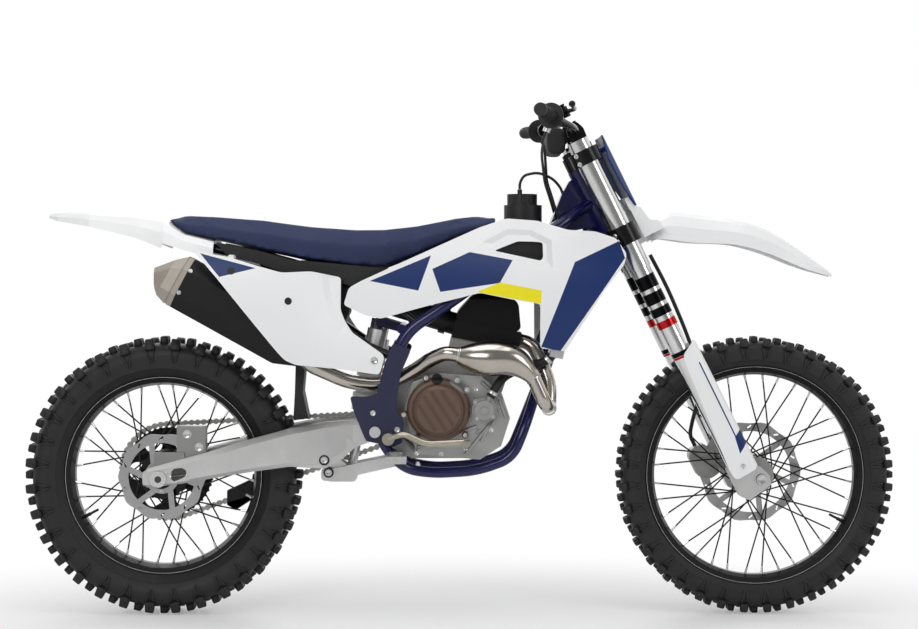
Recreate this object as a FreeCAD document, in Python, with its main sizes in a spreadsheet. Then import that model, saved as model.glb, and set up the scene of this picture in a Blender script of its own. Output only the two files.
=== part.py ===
"""Motocross bike: a parametric assembly, in millimetres.

The bike stands on its two wheels and faces +X, with +Y to its left and +Z up.
Sizes are measured from the ground below the rear axle, and each piece is then
placed in the frame of the rider's mount on top of the seat.
"""
import FreeCAD, Part
import math
import os
from types import SimpleNamespace

import Sketcher

Vector = FreeCAD.Vector


SIZES = {
    # Whole bike
    "wheelbase": 1493,
    "axle_height": 350,
    "mount_x": 490,
    "mount_z": 966,
    "rake": 26.1,
    "running_gap": 0.3,
    "seat_gap": 0.3,
    # Wheels
    "front_tyre_radius": 350,
    "front_tyre_half_width": 45,
    "front_lug_height": 13,
    "front_lug_length": 17,
    "front_lug_rows": 28,
    "front_bead_radius": 264,
    "front_bead_half_width": 26,
    "front_rim_radius": 253,
    "front_hub_radius": 30,
    "front_hub_half_width": 66,
    "front_flange_radius": 47,
    "front_flange_y": 26,
    "front_axle_radius": 12,
    "rear_tyre_radius": 350,
    "rear_tyre_half_width": 58,
    "rear_lug_height": 17,
    "rear_lug_length": 20,
    "rear_lug_rows": 28,
    "rear_bead_radius": 238,
    "rear_bead_half_width": 33,
    "rear_rim_radius": 227,
    "rear_hub_radius": 36,
    "rear_hub_half_width": 72,
    "rear_flange_radius": 60,
    "rear_flange_y": 30,
    "rear_axle_radius": 12.5,
    "lug_overhang": 4,
    "rim_wall": 4,
    "flange_width": 5,
    "spoke_radius": 1.9,
    "spoke_count": 36,
    "spoke_seat": 1.0,
    "front_disc_radius": 130,
    "front_disc_y": 54,
    "rear_disc_radius": 110,
    "rear_disc_y": -58,
    "disc_width": 4,
    "disc_track": 26,
    "disc_wave": 3,
    # Chain drive
    "chain_pitch": 15.875,
    "chain_y": 68,
    "chain_width": 13,
    "chain_height": 15,
    "roller_radius": 5,
    "rear_teeth": 48,
    "drive_teeth": 13,
    "sprocket_width": 6,
    "drive_x": 600,
    "drive_z": 470,
    # Fork and steering
    "axle_lead": 38.6,
    "fork_offset": 22,
    "fork_half_track": 105,
    "fork_low_z": -34,
    "tube_seat_z": 52,
    "fork_seal_z": 356,
    "fork_top_z": 953,
    "inner_tube_radius": 24,
    "lower_tube_radius": 26,
    "upper_tube_radius": 28.5,
    "tube_step_z": 600,
    "lower_clamp_z": 692,
    "lower_clamp_height": 48,
    "upper_clamp_z": 908,
    "upper_clamp_height": 36,
    "clamp_wall": 10,
    "stem_radius": 17,
    "head_wall": 10,
    "lug_half_width": 20,
    "guard_reach": 32,
    "throttle_inset": 6.5,
    "lever_inset": 42.5,
    "bar_x": -31,
    "bar_z": 978,
    "bar_radius": 14.3,
    "bar_tip_radius": 11.1,
    "bar_half_width": 405,
    "grip_start": 275,
    "grip_radius": 15.5,
    # Swingarm and frame
    "pivot_x": 537,
    "pivot_z": 468,
    "pivot_radius": 20,
    "pivot_bolt_radius": 8.5,
    "arm_inner_y": 88,
    "arm_width": 28,
    "arm_front_inner_y": 77,
    "arm_front_width": 22,
    "spar_y": 115,
    "spar_radius": 15,
    "cradle_y": 75,
    "cradle_radius": 13,
    "subframe_radius": 11,
}


def fill_sheet(doc):
    """Write the driving sizes into a spreadsheet, one aliased cell each."""
    sheet = doc.addObject("Spreadsheet::Sheet", "Sheet")
    for row, (alias, size) in enumerate(SIZES.items(), start=1):
        sheet.set(f"A{row}", alias)
        sheet.set(f"B{row}", str(size))
        sheet.setAlias(f"B{row}", alias)
    doc.recompute()
    return SimpleNamespace(**{alias: float(sheet.get(alias)) for alias in SIZES})


# Placing
def place(obj, x="0", y="0", z="0"):
    """Place a piece, measured from the ground below the rear axle."""
    obj.setExpression("Placement.Base.x", f"{x} - Sheet.mount_x")
    obj.setExpression("Placement.Base.y", y)
    obj.setExpression("Placement.Base.z", f"{z} - Sheet.mount_z")
    return obj


def place_on_fork(obj):
    """Place a piece whose own frame is the fork's: origin at the front axle, +Z up the legs."""
    obj.Placement = FreeCAD.Placement(Vector(), FreeCAD.Rotation(Vector(0, 1, 0), -1))
    obj.setExpression("Placement.Rotation.Angle", "-Sheet.rake")
    return place(obj, "Sheet.wheelbase", "0", "Sheet.axle_height")


def from_fork(s, x, y, z):
    """Turn a point of the fork's frame into one measured from the ground."""
    angle = math.radians(s.rake)
    return Vector(s.wheelbase + x * math.cos(angle) - z * math.sin(angle), y,
                  s.axle_height + x * math.sin(angle) + z * math.cos(angle))


# Making shapes
def origin_plane(body, role):
    return next(feature for feature in body.Origin.OriginFeatures if feature.Role == role)


def sketch(body, name, role, points):
    """Closed outline of straight edges, each corner bound to a pair of sheet expressions."""
    outline = body.newObject("Sketcher::SketchObject", name)
    outline.AttachmentSupport = [(origin_plane(body, role), "")]
    outline.MapMode = "FlatFace"
    corners = [[float(body.evalExpression(str(part))) for part in point] for point in points]
    count = len(corners)
    for index, corner in enumerate(corners):
        following = corners[(index + 1) % count]
        outline.addGeometry(Part.LineSegment(Vector(*corner, 0), Vector(*following, 0)))
    rules = [Sketcher.Constraint("Coincident", index, 2, (index + 1) % count, 1)
             for index in range(count)]
    rules += [Sketcher.Constraint("DistanceX", index, 1, corners[index][0]) for index in range(count)]
    rules += [Sketcher.Constraint("DistanceY", index, 1, corners[index][1]) for index in range(count)]
    outline.addConstraint(rules)
    for index, (across, up) in enumerate(points):
        outline.setExpression(f"Constraints[{count + index}]", str(across))
        outline.setExpression(f"Constraints[{2 * count + index}]", str(up))
    return outline


def turned(doc, label, points):
    """Body turned about its Y axis from an outline of (radius, y) corners."""
    body = doc.addObject("PartDesign::Body", label)
    outline = sketch(body, label + "_profile", "XY_Plane", points)
    turn = body.newObject("PartDesign::Revolution", label + "_turn")
    turn.Profile = outline
    turn.ReferenceAxis = (outline, ["V_Axis"])
    turn.Angle = 360
    return body


def feature(doc, label, shape):
    """Piece whose shape comes from Part's own functions."""
    piece = doc.addObject("Part::Feature", label)
    piece.Shape = shape
    return piece


def rod(start, end, radius):
    """Round bar from one point to another."""
    return Part.makeCylinder(radius, (end - start).Length, start, end - start)


def cross_bar(x, z, radius, low_y, high_y):
    """Round bar across the bike."""
    return Part.makeCylinder(radius, high_y - low_y, Vector(x, low_y, z), Vector(0, 1, 0))


def block(low, high):
    """Box between two opposite corners."""
    size = high - low
    return Part.makeBox(size.x, size.y, size.z, low)


def plate(points, low_y, high_y):
    """Flat plate with an outline of (x, z) corners, between two values of y."""
    corners = [Vector(x, low_y, z) for x, z in points]
    face = Part.Face(Part.makePolygon(corners + corners[:1]))
    return face.extrude(Vector(0, high_y - low_y, 0))


def rounded_outline(points, y, reach=12):
    """Closed wire in the plane of y through (x, z) corners, each rounded by an arc."""
    corners = [Vector(x, y, z) for x, z in points]
    count = len(corners)
    edges = []
    ends = []
    for index, corner in enumerate(corners):
        before, after = corners[index - 1], corners[(index + 1) % count]
        cut = min(reach, 0.45 * (before - corner).Length, 0.45 * (after - corner).Length)
        back = (before - corner).normalize()
        ahead = (after - corner).normalize()
        start, end = corner + back * cut, corner + ahead * cut
        turn = math.pi - back.getAngle(ahead)
        if turn < 0.02:
            ends.append((corner, corner, None))
            continue
        radius = cut / math.tan(turn / 2)
        middle = corner + (back + ahead).normalize() * (radius / math.cos(turn / 2) - radius)
        ends.append((start, end, Part.Arc(start, middle, end).toShape()))
    for index, (start, end, arc) in enumerate(ends):
        if arc:
            edges.append(arc)
        following = ends[(index + 1) % count][0]
        edges.append(Part.LineSegment(end, following).toShape())
    return Part.Wire(edges)


def rounded_plate(points, low_y, high_y, reach=12):
    """Flat plate between two values of y, its outline rounded at every corner."""
    return Part.Face(rounded_outline(points, low_y, reach)).extrude(Vector(0, high_y - low_y, 0))


def skin(stations, wall):
    """Thin bowed panel through stations of (x, [(y, z), ...]), its thickness inwards along y."""
    wires = []
    for x, row in stations:
        outer = Part.BSplineCurve()
        outer.interpolate([Vector(x, y, z) for y, z in row])
        inner = Part.BSplineCurve()
        inner.interpolate([Vector(x, y - wall, z) for y, z in reversed(row)])
        (first_y, first_z), (last_y, last_z) = row[0], row[-1]
        wires.append(Part.Wire([
            outer.toShape(),
            Part.LineSegment(Vector(x, last_y, last_z), Vector(x, last_y - wall, last_z)).toShape(),
            inner.toShape(),
            Part.LineSegment(Vector(x, first_y - wall, first_z), Vector(x, first_y, first_z)).toShape(),
        ]))
    return Part.makeLoft(wires, True, False)


def bowed_stations(table, heights):
    """Stations of a skin from rows of x and one y for each height."""
    return [(x, list(zip(across, heights))) for x, across in table]


def tyre_carcass(s, end, rows):
    """Tyre without its lugs, with flat facets between the rows of centre lugs."""
    bead = getattr(s, f"{end}_bead_radius")
    bead_y = getattr(s, f"{end}_bead_half_width") - s.rim_wall
    half = getattr(s, f"{end}_tyre_half_width") - s.lug_overhang
    crown = getattr(s, f"{end}_tyre_radius") - getattr(s, f"{end}_lug_height")
    side = [(bead / math.cos(math.pi / rows), bead_y), (bead + 12, bead_y), (bead + 40, half - 5),
            (crown - 26, half), (crown, half * 0.5)]
    profile = [(radius, -y) for radius, y in side] + [(radius, y) for radius, y in reversed(side)]
    count = len(profile)

    def corner(row, index):
        radius, y = profile[index % count]
        angle = 2 * math.pi * row / rows
        return Vector(radius * math.cos(angle), y, radius * math.sin(angle))

    faces = []
    for row in range(rows):
        for index in range(count):
            quad = [corner(row, index), corner(row + 1, index), corner(row + 1, index + 1), corner(row, index + 1)]
            faces.append(Part.Face(Part.makePolygon(quad + quad[:1])))
    carcass = Part.makeSolid(Part.makeShell(faces))
    if carcass.Volume < 0:
        carcass.reverse()
    return carcass


def lug(low_radius, high_radius, low_y, high_y, length, angle):
    """One square lug on a tyre, at an angle in degrees."""
    shape = Part.makeBox(high_radius - low_radius, high_y - low_y, length, Vector(low_radius, low_y, -length / 2))
    shape.rotate(Vector(0, 0, 0), Vector(0, 1, 0), angle)
    return shape


def bent_path(points, share=0.45):
    """Straight runs joined by tangent arcs, as large as the shorter run allows."""
    edges = []
    start = points[0]
    for before, corner, after in zip(points, points[1:], points[2:]):
        back = (before - corner).normalize()
        ahead = (after - corner).normalize()
        reach = share * min((before - corner).Length, (after - corner).Length)
        turn = math.pi - back.getAngle(ahead)
        radius = reach / math.tan(turn / 2)
        inward = (back + ahead).normalize()
        middle = corner + inward * (radius / math.cos(turn / 2) - radius)
        edges.append(Part.LineSegment(start, corner + back * reach).toShape())
        edges.append(Part.Arc(corner + back * reach, middle, corner + ahead * reach).toShape())
        start = corner + ahead * reach
    edges.append(Part.LineSegment(start, points[-1]).toShape())
    return Part.Wire(edges)


def tube(points, radius, share=0.45):
    """Round tube along straight runs joined by tangent arcs."""
    path = bent_path(points, share)
    ring = Part.Wire(Part.makeCircle(radius, points[0], points[1] - points[0]))
    return path.makePipeShell([ring], True, True)


def loft(sections, ruled=False):
    """Solid through closed sections, each a list of points joined by straight edges."""
    wires = [Part.makePolygon(section + section[:1]) for section in sections]
    return Part.makeLoft(wires, True, ruled)


def mirrored(shape):
    """The same shape on the other side of the bike."""
    return shape.mirror(Vector(0, 0, 0), Vector(0, 1, 0))


def both_sides(shape):
    return Part.makeCompound([shape, mirrored(shape)])


def joined(first, *others):
    return first.fuse(list(others)).removeSplitter()


def welded(first, *others):
    """Like joined, but keeps the seams where round tubes cross."""
    return first.fuse(list(others))


# Wheels
def wheel_place(end):
    return ("Sheet.wheelbase" if end == "front" else "0"), "0", "Sheet.axle_height"


def tyre(doc, s, end):
    """Knobbly tyre: rows of centre lugs, with shoulder lugs staggered between them."""
    tip = getattr(s, f"{end}_tyre_radius")
    half = getattr(s, f"{end}_tyre_half_width")
    height = getattr(s, f"{end}_lug_height")
    length = getattr(s, f"{end}_lug_length")
    rows = int(getattr(s, f"{end}_lug_rows"))
    root = tip - height - 6
    shoulder_tip = tip - height * 0.55
    shoulder_root = tip - height - 28
    pitch = 360 / rows
    lugs = []
    for row in range(rows):
        lugs.append(lug(root, tip, -half * 0.42, half * 0.42, length, row * pitch))
        for side in (-1, 1):
            low_y, high_y = sorted((side * half * 0.62, side * half))
            lugs.append(lug(shoulder_root, shoulder_tip, low_y, high_y, length, (row + 0.5) * pitch))
    carcass = tyre_carcass(s, end, rows)
    return place(feature(doc, f"{end}_tyre", carcass.fuse(lugs)), *wheel_place(end))


def rim(doc, end):
    size = f"Sheet.{end}_"
    flange = f"{size}bead_half_width"
    points = [
        (f"{size}rim_radius", "-11"),
        (f"{size}bead_radius - Sheet.rim_wall", f"-{flange}"),
        (f"{size}bead_radius + 10", f"-{flange}"),
        (f"{size}bead_radius + 10", f"-{flange} + Sheet.rim_wall"),
        (f"{size}bead_radius", f"-{flange} + Sheet.rim_wall"),
        (f"{size}bead_radius", f"{flange} - Sheet.rim_wall"),
        (f"{size}bead_radius + 10", f"{flange} - Sheet.rim_wall"),
        (f"{size}bead_radius + 10", f"{flange}"),
        (f"{size}bead_radius - Sheet.rim_wall", f"{flange}"),
        (f"{size}rim_radius", "11"),
    ]
    return place(turned(doc, f"{end}_rim", points), *wheel_place(end))


def hub(doc, end):
    size = f"Sheet.{end}_"
    bore = f"{size}axle_radius + Sheet.running_gap"
    half = f"{size}hub_half_width"
    inner = f"{size}flange_y"
    outer = f"{size}flange_y + Sheet.flange_width"
    points = [
        (bore, f"-{half}"), (f"{size}hub_radius - 6", f"-{half}"),
        (f"{size}hub_radius - 6", f"-({outer})"), (f"{size}flange_radius", f"-({outer})"),
        (f"{size}flange_radius", f"-{inner}"), (f"{size}hub_radius", f"-{inner} + 8"),
        (f"{size}hub_radius", f"{inner} - 8"), (f"{size}flange_radius", inner),
        (f"{size}flange_radius", outer), (f"{size}hub_radius - 6", outer),
        (f"{size}hub_radius - 6", half), (bore, half),
    ]
    return place(turned(doc, f"{end}_hub", points), *wheel_place(end))


def spokes(doc, s, end):
    """Crossed spokes from both hub flanges to the rim, six-sided, cut square at the rim."""
    flange_radius = getattr(s, f"{end}_flange_radius")
    flange_y = getattr(s, f"{end}_flange_y")
    rim_radius = getattr(s, f"{end}_rim_radius")
    count = int(s.spoke_count)
    start_turn = math.radians(62)
    bars = []
    for index in range(count):
        side = 1 if index % 2 else -1
        lead = 1 if (index // 2) % 2 else -1
        rim_angle = 2 * math.pi * (index + 0.5) / count
        hub_angle = rim_angle + lead * start_turn
        reach = flange_radius
        y = side * (flange_y + s.flange_width / 2 + lead * (s.flange_width / 2 + s.spoke_radius + 0.2))
        start = Vector(reach * math.cos(hub_angle), y, reach * math.sin(hub_angle))
        end_point = Vector(rim_radius * math.cos(rim_angle), side * 7, rim_radius * math.sin(rim_angle))
        along = (end_point - start).normalize()
        sideways = along.cross(Vector(0, 1, 0)).normalize()
        over = along.cross(sideways)
        ring = [start + sideways * (s.spoke_radius * math.cos(turn)) + over * (s.spoke_radius * math.sin(turn))
                for turn in (math.pi * step / 3 for step in range(6))]
        face = Part.Face(Part.makePolygon(ring + ring[:1]))
        bars.append(face.extrude(end_point - start - along * s.spoke_seat))
    return place(feature(doc, f"{end}_spokes", Part.makeCompound(bars)), *wheel_place(end))


def disc(doc, s, end):
    """Brake disc: a wavy, slotted ring on slanted arms from the hub."""
    radius = getattr(s, f"{end}_disc_radius")
    y = getattr(s, f"{end}_disc_y")
    low, high = y - s.disc_width / 2, y + s.disc_width / 2
    waves = 10
    ring = []
    for step in range(waves * 6):
        angle = 2 * math.pi * step / (waves * 6)
        reach = radius - s.disc_wave * (1 - math.cos(waves * angle))
        ring.append((reach * math.cos(angle), reach * math.sin(angle)))
    sheet = plate(ring, low, high)
    bore = getattr(s, f"{end}_hub_radius") - 6
    carrier = bore + 13
    inner = radius - s.disc_track
    windows = cross_bar(0, 0, inner, low - 1, high + 1).cut(cross_bar(0, 0, carrier, low - 2, high + 2))
    arms, slots = [], []
    for step in range(6):
        arm = block(Vector(carrier - 8, low - 2, -7), Vector(inner + 8, high + 2, 7))
        arm.rotate(Vector(carrier, 0, 0), Vector(0, 1, 0), 24)
        arm.rotate(Vector(0, 0, 0), Vector(0, 1, 0), 60 * step)
        arms.append(arm)
    for step in range(waves):
        slot = block(Vector(inner + 5, low - 2, -2), Vector(radius - 2 * s.disc_wave - 3, high + 2, 2))
        slot.rotate(Vector((inner + radius) / 2, 0, 0), Vector(0, 1, 0), 50)
        slot.rotate(Vector(0, 0, 0), Vector(0, 1, 0), 360 * (step + 0.5) / waves)
        slots.append(slot)
    shape = sheet.cut([windows.cut(arms), cross_bar(0, 0, bore, low - 2, high + 2), *slots])
    return place(feature(doc, f"{end}_disc", shape), *wheel_place(end))


def pitch_radius(s, teeth):
    return s.chain_pitch / (2 * math.sin(math.pi / teeth))


def sprocket(s, teeth, bore, holes):
    """Toothed plate whose tips stay inside the chain's rollers."""
    pitch = pitch_radius(s, teeth)
    tip = pitch - s.roller_radius - 0.7
    root = tip - 3.5
    ring = []
    for tooth in range(int(teeth)):
        for share, reach in ((0.2, root), (0.42, tip), (0.58, tip), (0.8, root)):
            angle = 2 * math.pi * (tooth + share) / teeth
            ring.append((reach * math.cos(angle), reach * math.sin(angle)))
    half = s.sprocket_width / 2
    sheet = plate(ring, s.chain_y - half, s.chain_y + half)
    cuts = [cross_bar(0, 0, bore, s.chain_y - 10, s.chain_y + 10)]
    for step in range(holes):
        angle = 2 * math.pi * step / holes
        reach = pitch * 0.66
        cuts.append(cross_bar(reach * math.cos(angle), reach * math.sin(angle), pitch * 0.19,
                              s.chain_y - 10, s.chain_y + 10))
    return sheet.cut(cuts)


def rear_sprocket(doc, s):
    shape = sprocket(s, s.rear_teeth, s.rear_hub_radius - 6, 6)
    return place(feature(doc, "rear_sprocket", shape), "0", "0", "Sheet.axle_height")


def drive_sprocket(doc, s):
    shape = sprocket(s, s.drive_teeth, 9, 0)
    shaft = cross_bar(0, 0, 9, s.chain_y - 14, s.chain_y + 8)
    return place(feature(doc, "drive_sprocket", joined(shape, shaft)), "Sheet.drive_x", "0", "Sheet.drive_z")


def chain_loop(s, offset):
    """Wire round both sprockets, at a distance outside their pitch circles."""
    low_y = s.chain_y - s.chain_width / 2
    rear = Vector(0, low_y, s.axle_height)
    drive = Vector(s.drive_x, low_y, s.drive_z)
    big = pitch_radius(s, s.rear_teeth)
    small = pitch_radius(s, s.drive_teeth)
    gap = drive - rear
    tilt = math.atan2(gap.z, gap.x)
    spread = math.acos((big - small) / gap.Length)

    def on(centre, radius, angle):
        return centre + Vector(math.cos(angle), 0, math.sin(angle)) * (radius + offset)

    top, bottom = tilt + spread, tilt - spread
    return Part.Wire([
        Part.Arc(on(rear, big, top), on(rear, big, tilt + math.pi), on(rear, big, bottom)).toShape(),
        Part.LineSegment(on(rear, big, bottom), on(drive, small, bottom)).toShape(),
        Part.Arc(on(drive, small, bottom), on(drive, small, tilt), on(drive, small, top)).toShape(),
        Part.LineSegment(on(drive, small, top), on(rear, big, top)).toShape(),
    ])


def chain(doc, s):
    """Closed band round both sprockets, with a corner at each pin."""
    loop = chain_loop(s, 0)
    links = 2 * round(loop.Length / s.chain_pitch / 2)
    pins = loop.discretize(Number=links + 1)[:-1]
    outer, inner = [], []
    for index, pin in enumerate(pins):
        along = pins[(index + 1) % len(pins)] - pins[index - 1]
        outward = Vector(along.z, 0, -along.x).normalize()
        outer.append(pin + outward * (s.chain_height / 2))
        inner.append(pin - outward * s.roller_radius)
    face = Part.Face(Part.makePolygon(outer + outer[:1])).cut(Part.Face(Part.makePolygon(inner + inner[:1])))
    return place(feature(doc, "chain", face.extrude(Vector(0, s.chain_width, 0))))


# Fork and steering, in the fork's frame
def leg_x(s):
    return -s.axle_lead


def stem_x(s):
    return -s.axle_lead - s.fork_offset


def fork_outer_tubes(doc, s):
    body_low = rod(Vector(leg_x(s), s.fork_half_track, s.fork_seal_z),
                   Vector(leg_x(s), s.fork_half_track, s.tube_step_z), s.lower_tube_radius)
    body_top = rod(Vector(leg_x(s), s.fork_half_track, s.tube_step_z),
                   Vector(leg_x(s), s.fork_half_track, s.fork_top_z), s.upper_tube_radius)
    bore = rod(Vector(leg_x(s), s.fork_half_track, s.fork_seal_z),
               Vector(leg_x(s), s.fork_half_track, s.fork_seal_z + 60), s.inner_tube_radius)
    leg = joined(body_low, body_top).cut(bore)
    return place_on_fork(feature(doc, "fork_outer_tubes", both_sides(leg)))


def fork_inner_tubes(doc, s):
    leg = rod(Vector(leg_x(s), s.fork_half_track, s.tube_seat_z),
              Vector(leg_x(s), s.fork_half_track, s.fork_seal_z + 60), s.inner_tube_radius)
    return place_on_fork(feature(doc, "fork_inner_tubes", both_sides(leg)))


def fork_lugs(doc, s):
    """Cast ends that carry the front axle ahead of the legs."""
    y0, y1 = s.fork_half_track - s.lug_half_width - 8, s.fork_half_track + s.lug_half_width
    outline = [(leg_x(s) - 27, s.fork_low_z + 20), (leg_x(s) - 10, s.fork_low_z), (16, s.fork_low_z + 12),
               (22, 0), (14, 24), (leg_x(s) + 30, s.fork_low_z + 92), (leg_x(s) - 27, s.fork_low_z + 92)]
    lug = plate(outline, y0, y1)
    lug = lug.cut([cross_bar(0, 0, s.front_axle_radius, y0 - 5, y1 + 5),
                   rod(Vector(leg_x(s), s.fork_half_track, s.tube_seat_z),
                       Vector(leg_x(s), s.fork_half_track, s.tube_seat_z + 50), s.inner_tube_radius)])
    return place_on_fork(feature(doc, "fork_lugs", both_sides(lug)))


def front_axle(doc, s):
    reach = s.fork_half_track + s.lug_half_width + 6
    spacer_low = s.front_hub_half_width + s.running_gap
    spacer_high = s.fork_half_track - s.lug_half_width - 8
    spacer = cross_bar(0, 0, s.front_axle_radius + 7, spacer_low, spacer_high)
    shape = joined(cross_bar(0, 0, s.front_axle_radius, -reach, reach), spacer, mirrored(spacer))
    return place_on_fork(feature(doc, "front_axle", shape))


def clamp(s, middle, height, reach_forward):
    """Fork clamp: two rings joined by a bridge, with a boss round the stem."""
    low = middle - height / 2
    y = s.fork_half_track
    corners = [Vector(leg_x(s) + reach_forward, -y, low), Vector(leg_x(s) + reach_forward, y, low),
               Vector(stem_x(s) - 6, y, low), Vector(stem_x(s) - 6, -y, low)]
    bridge = Part.Face(Part.makePolygon(corners + corners[:1])).extrude(Vector(0, 0, height))
    boss = Part.makeCylinder(s.stem_radius + 9, height, Vector(stem_x(s), 0, low))
    ring = Part.makeCylinder(s.upper_tube_radius + s.clamp_wall, height, Vector(leg_x(s), y, low))
    hole = Part.makeCylinder(s.upper_tube_radius, height, Vector(leg_x(s), y, low))
    return joined(bridge, boss, ring, mirrored(ring)).cut([hole, mirrored(hole)])


def triple_clamps(doc, s):
    lower = clamp(s, s.lower_clamp_z, s.lower_clamp_height, 18)
    upper = clamp(s, s.upper_clamp_z, s.upper_clamp_height, 14)
    stem_low = s.lower_clamp_z - s.lower_clamp_height / 2
    stem_high = s.upper_clamp_z + s.upper_clamp_height / 2 + 12
    stem = Part.makeCylinder(s.stem_radius, stem_high - stem_low, Vector(stem_x(s), 0, stem_low))
    nut = Part.makeCylinder(s.stem_radius + 5, 10, Vector(stem_x(s), 0, stem_high - 12))
    return place_on_fork(feature(doc, "triple_clamps", joined(lower, upper, stem, nut)))


def fork_guards(doc, s):
    """Plastic guards wrapped round the front and outer side of the fork's legs."""
    outline = [(0, 385), (-39, 363), (-43, 347), (-57, 146), (-63, 48), (-58, 27), (-2, 31), (12, 44), (12, 372)]
    wall, front, edge = 3, 8, 15
    guard_y = s.fork_half_track + s.guard_reach
    inner_y = s.fork_half_track - 20
    shell = Part.Wire([
        Part.LineSegment(Vector(-70, guard_y, 0), Vector(front - edge, guard_y, 0)).toShape(),
        Part.Arc(Vector(front - edge, guard_y, 0),
                 Vector(front - edge * 0.293, guard_y - edge * 0.293, 0),
                 Vector(front, guard_y - edge, 0)).toShape(),
        Part.LineSegment(Vector(front, guard_y - edge, 0), Vector(front, inner_y, 0)).toShape(),
        Part.LineSegment(Vector(front, inner_y, 0), Vector(front - wall, inner_y, 0)).toShape(),
        Part.LineSegment(Vector(front - wall, inner_y, 0), Vector(front - wall, guard_y - edge, 0)).toShape(),
        Part.Arc(Vector(front - wall, guard_y - edge, 0),
                 Vector(front - wall - (edge - wall) * 0.293, guard_y - wall - (edge - wall) * 0.293, 0),
                 Vector(front - edge, guard_y - wall, 0)).toShape(),
        Part.LineSegment(Vector(front - edge, guard_y - wall, 0), Vector(-70, guard_y - wall, 0)).toShape(),
        Part.LineSegment(Vector(-70, guard_y - wall, 0), Vector(-70, guard_y, 0)).toShape(),
    ])
    shell = Part.Face(shell).extrude(Vector(-4, 0, 400))
    guard = shell.common(rounded_plate(outline, inner_y - 5, guard_y + 5, 10))
    guard = guard.cut(block(Vector(-14, inner_y - 5, 20), Vector(12, s.fork_half_track + s.lug_half_width + 3, 64)))
    lug_face = s.fork_half_track + s.lug_half_width
    boss = cross_bar(-42, 40, 6, lug_face + s.seat_gap, guard_y - 1)
    return place_on_fork(feature(doc, "fork_guards", both_sides(joined(guard, boss))))


def arched_sections(stations, wall, lean):
    """Thin arched sections of a mudguard, from (x, z, half width, drop) and the way its sides hang."""
    shape = ((-1, 1), (-0.97, 0.5), (-0.8, 0.14), (-0.42, 0.0), (0.42, 0.0), (0.8, 0.14), (0.97, 0.5), (1, 1))
    sections = []
    for x, z, half, drop in stations:
        top = Vector(x, 0, z)
        outer = [top + Vector(0, half * side, 0) + lean * (drop * low) for side, low in shape]
        inner = [top + lean * wall + Vector(0, (half - wall) * side, 0) + lean * ((drop - wall) * low)
                 for side, low in reversed(shape)]
        sections.append(outer + inner)
    return sections


def front_fender(doc, s):
    """Arched mudguard over the front wheel, with its neck up to the number plate."""
    stations = [(44, 676, 52, 40), (96, 688, 62, 66), (150, 659, 70, 72), (215, 615, 74, 64), (275, 568, 74, 60),
                (320, 512, 68, 52), (360, 444, 54, 36), (386, 398, 38, 20), (399, 370, 22, 8)]
    arch = loft(arched_sections(stations, 3.0, Vector(-0.6, 0, -0.8)), False)
    clamp_bottom = s.lower_clamp_z - s.lower_clamp_height / 2 - s.seat_gap
    pad = block(Vector(-50, -40, clamp_bottom - 16), Vector(60, 40, clamp_bottom))
    web = block(Vector(40, -30, clamp_bottom - 14), Vector(100, 30, 684))
    neck = [(4, 772), (14, 774), (20, 744), (31, 738), (38, 698), (60, 686), (60, 664), (4, 664)]
    neck_inside = [(0, 790), (10, 790), (16, 742), (27, 734), (34, 696), (56, 682), (56, 640), (0, 640)]
    neck = rounded_plate(neck, -92, 92, 6).cut(plate(neck_inside, -89, 89))
    neck = neck.cut(block(Vector(-10, -100, 640), Vector(6, 100, s.lower_clamp_z + s.lower_clamp_height)))
    return place_on_fork(feature(doc, "front_fender", joined(arch, pad, web, neck)))


def swingarm_section(x, low, high, inner, outer, bevel):
    """Bevelled box section of an arm, as corners in the plane of x."""
    return [Vector(x, inner + bevel / 2, low), Vector(x, outer - bevel, low), Vector(x, outer, low + bevel),
            Vector(x, outer, high - bevel * 1.4), Vector(x, outer - bevel * 1.4, high), Vector(x, inner + bevel / 2, high),
            Vector(x, inner, high - bevel / 2), Vector(x, inner, low + bevel / 2)]


def number_plate(doc, s):
    """Front number plate ahead of the clamps, bent back at its sides."""
    across = [(-112, 12), (-95, 24), (-60, 29), (60, 29), (95, 24), (112, 12)]
    wall = 4
    band = [Vector(x, y, 700) for y, x in across] + [Vector(x - wall, y, 700) for y, x in reversed(across)]
    band = Part.Face(Part.makePolygon(band + band[:1])).extrude(Vector(0, 0, 300))
    outline = [Vector(0, -95, 745), Vector(0, 95, 745), Vector(0, 108, 800), Vector(0, 112, 880),
               Vector(0, 92, 940), Vector(0, -92, 940), Vector(0, -112, 880), Vector(0, -108, 800)]
    sheet = band.common(Part.Face(Part.makePolygon(outline + outline[:1])).extrude(Vector(60, 0, 0)))
    clamp_front = leg_x(s) + 14 + s.seat_gap
    tab = rod(Vector(clamp_front, 45, s.upper_clamp_z), Vector(27, 45, s.upper_clamp_z), 7)
    return place_on_fork(feature(doc, "number_plate", joined(sheet, tab, mirrored(tab))))


def bar_ends(s):
    """Tip and grip flange of the left-hand bar."""
    return Vector(-111, s.bar_half_width, 1049), Vector(-85, s.grip_start, 1031.5)


def bar_half(s, radius):
    """Left half of the bent bar, at a given radius."""
    tip, flange = bar_ends(s)
    inward = flange + (flange - tip).normalize() * 55
    return tube([tip, inward, Vector(s.bar_x, 120, s.bar_z), Vector(s.bar_x, 0, s.bar_z)], radius)


def handlebar(doc, s):
    """Bent handlebar, with a thicker straight middle for its clamps."""
    half = bar_half(s, s.bar_tip_radius)
    middle = cross_bar(s.bar_x, s.bar_z, s.bar_radius, -90, 90)
    return place_on_fork(feature(doc, "handlebar", joined(half, mirrored(half), middle)))


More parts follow.
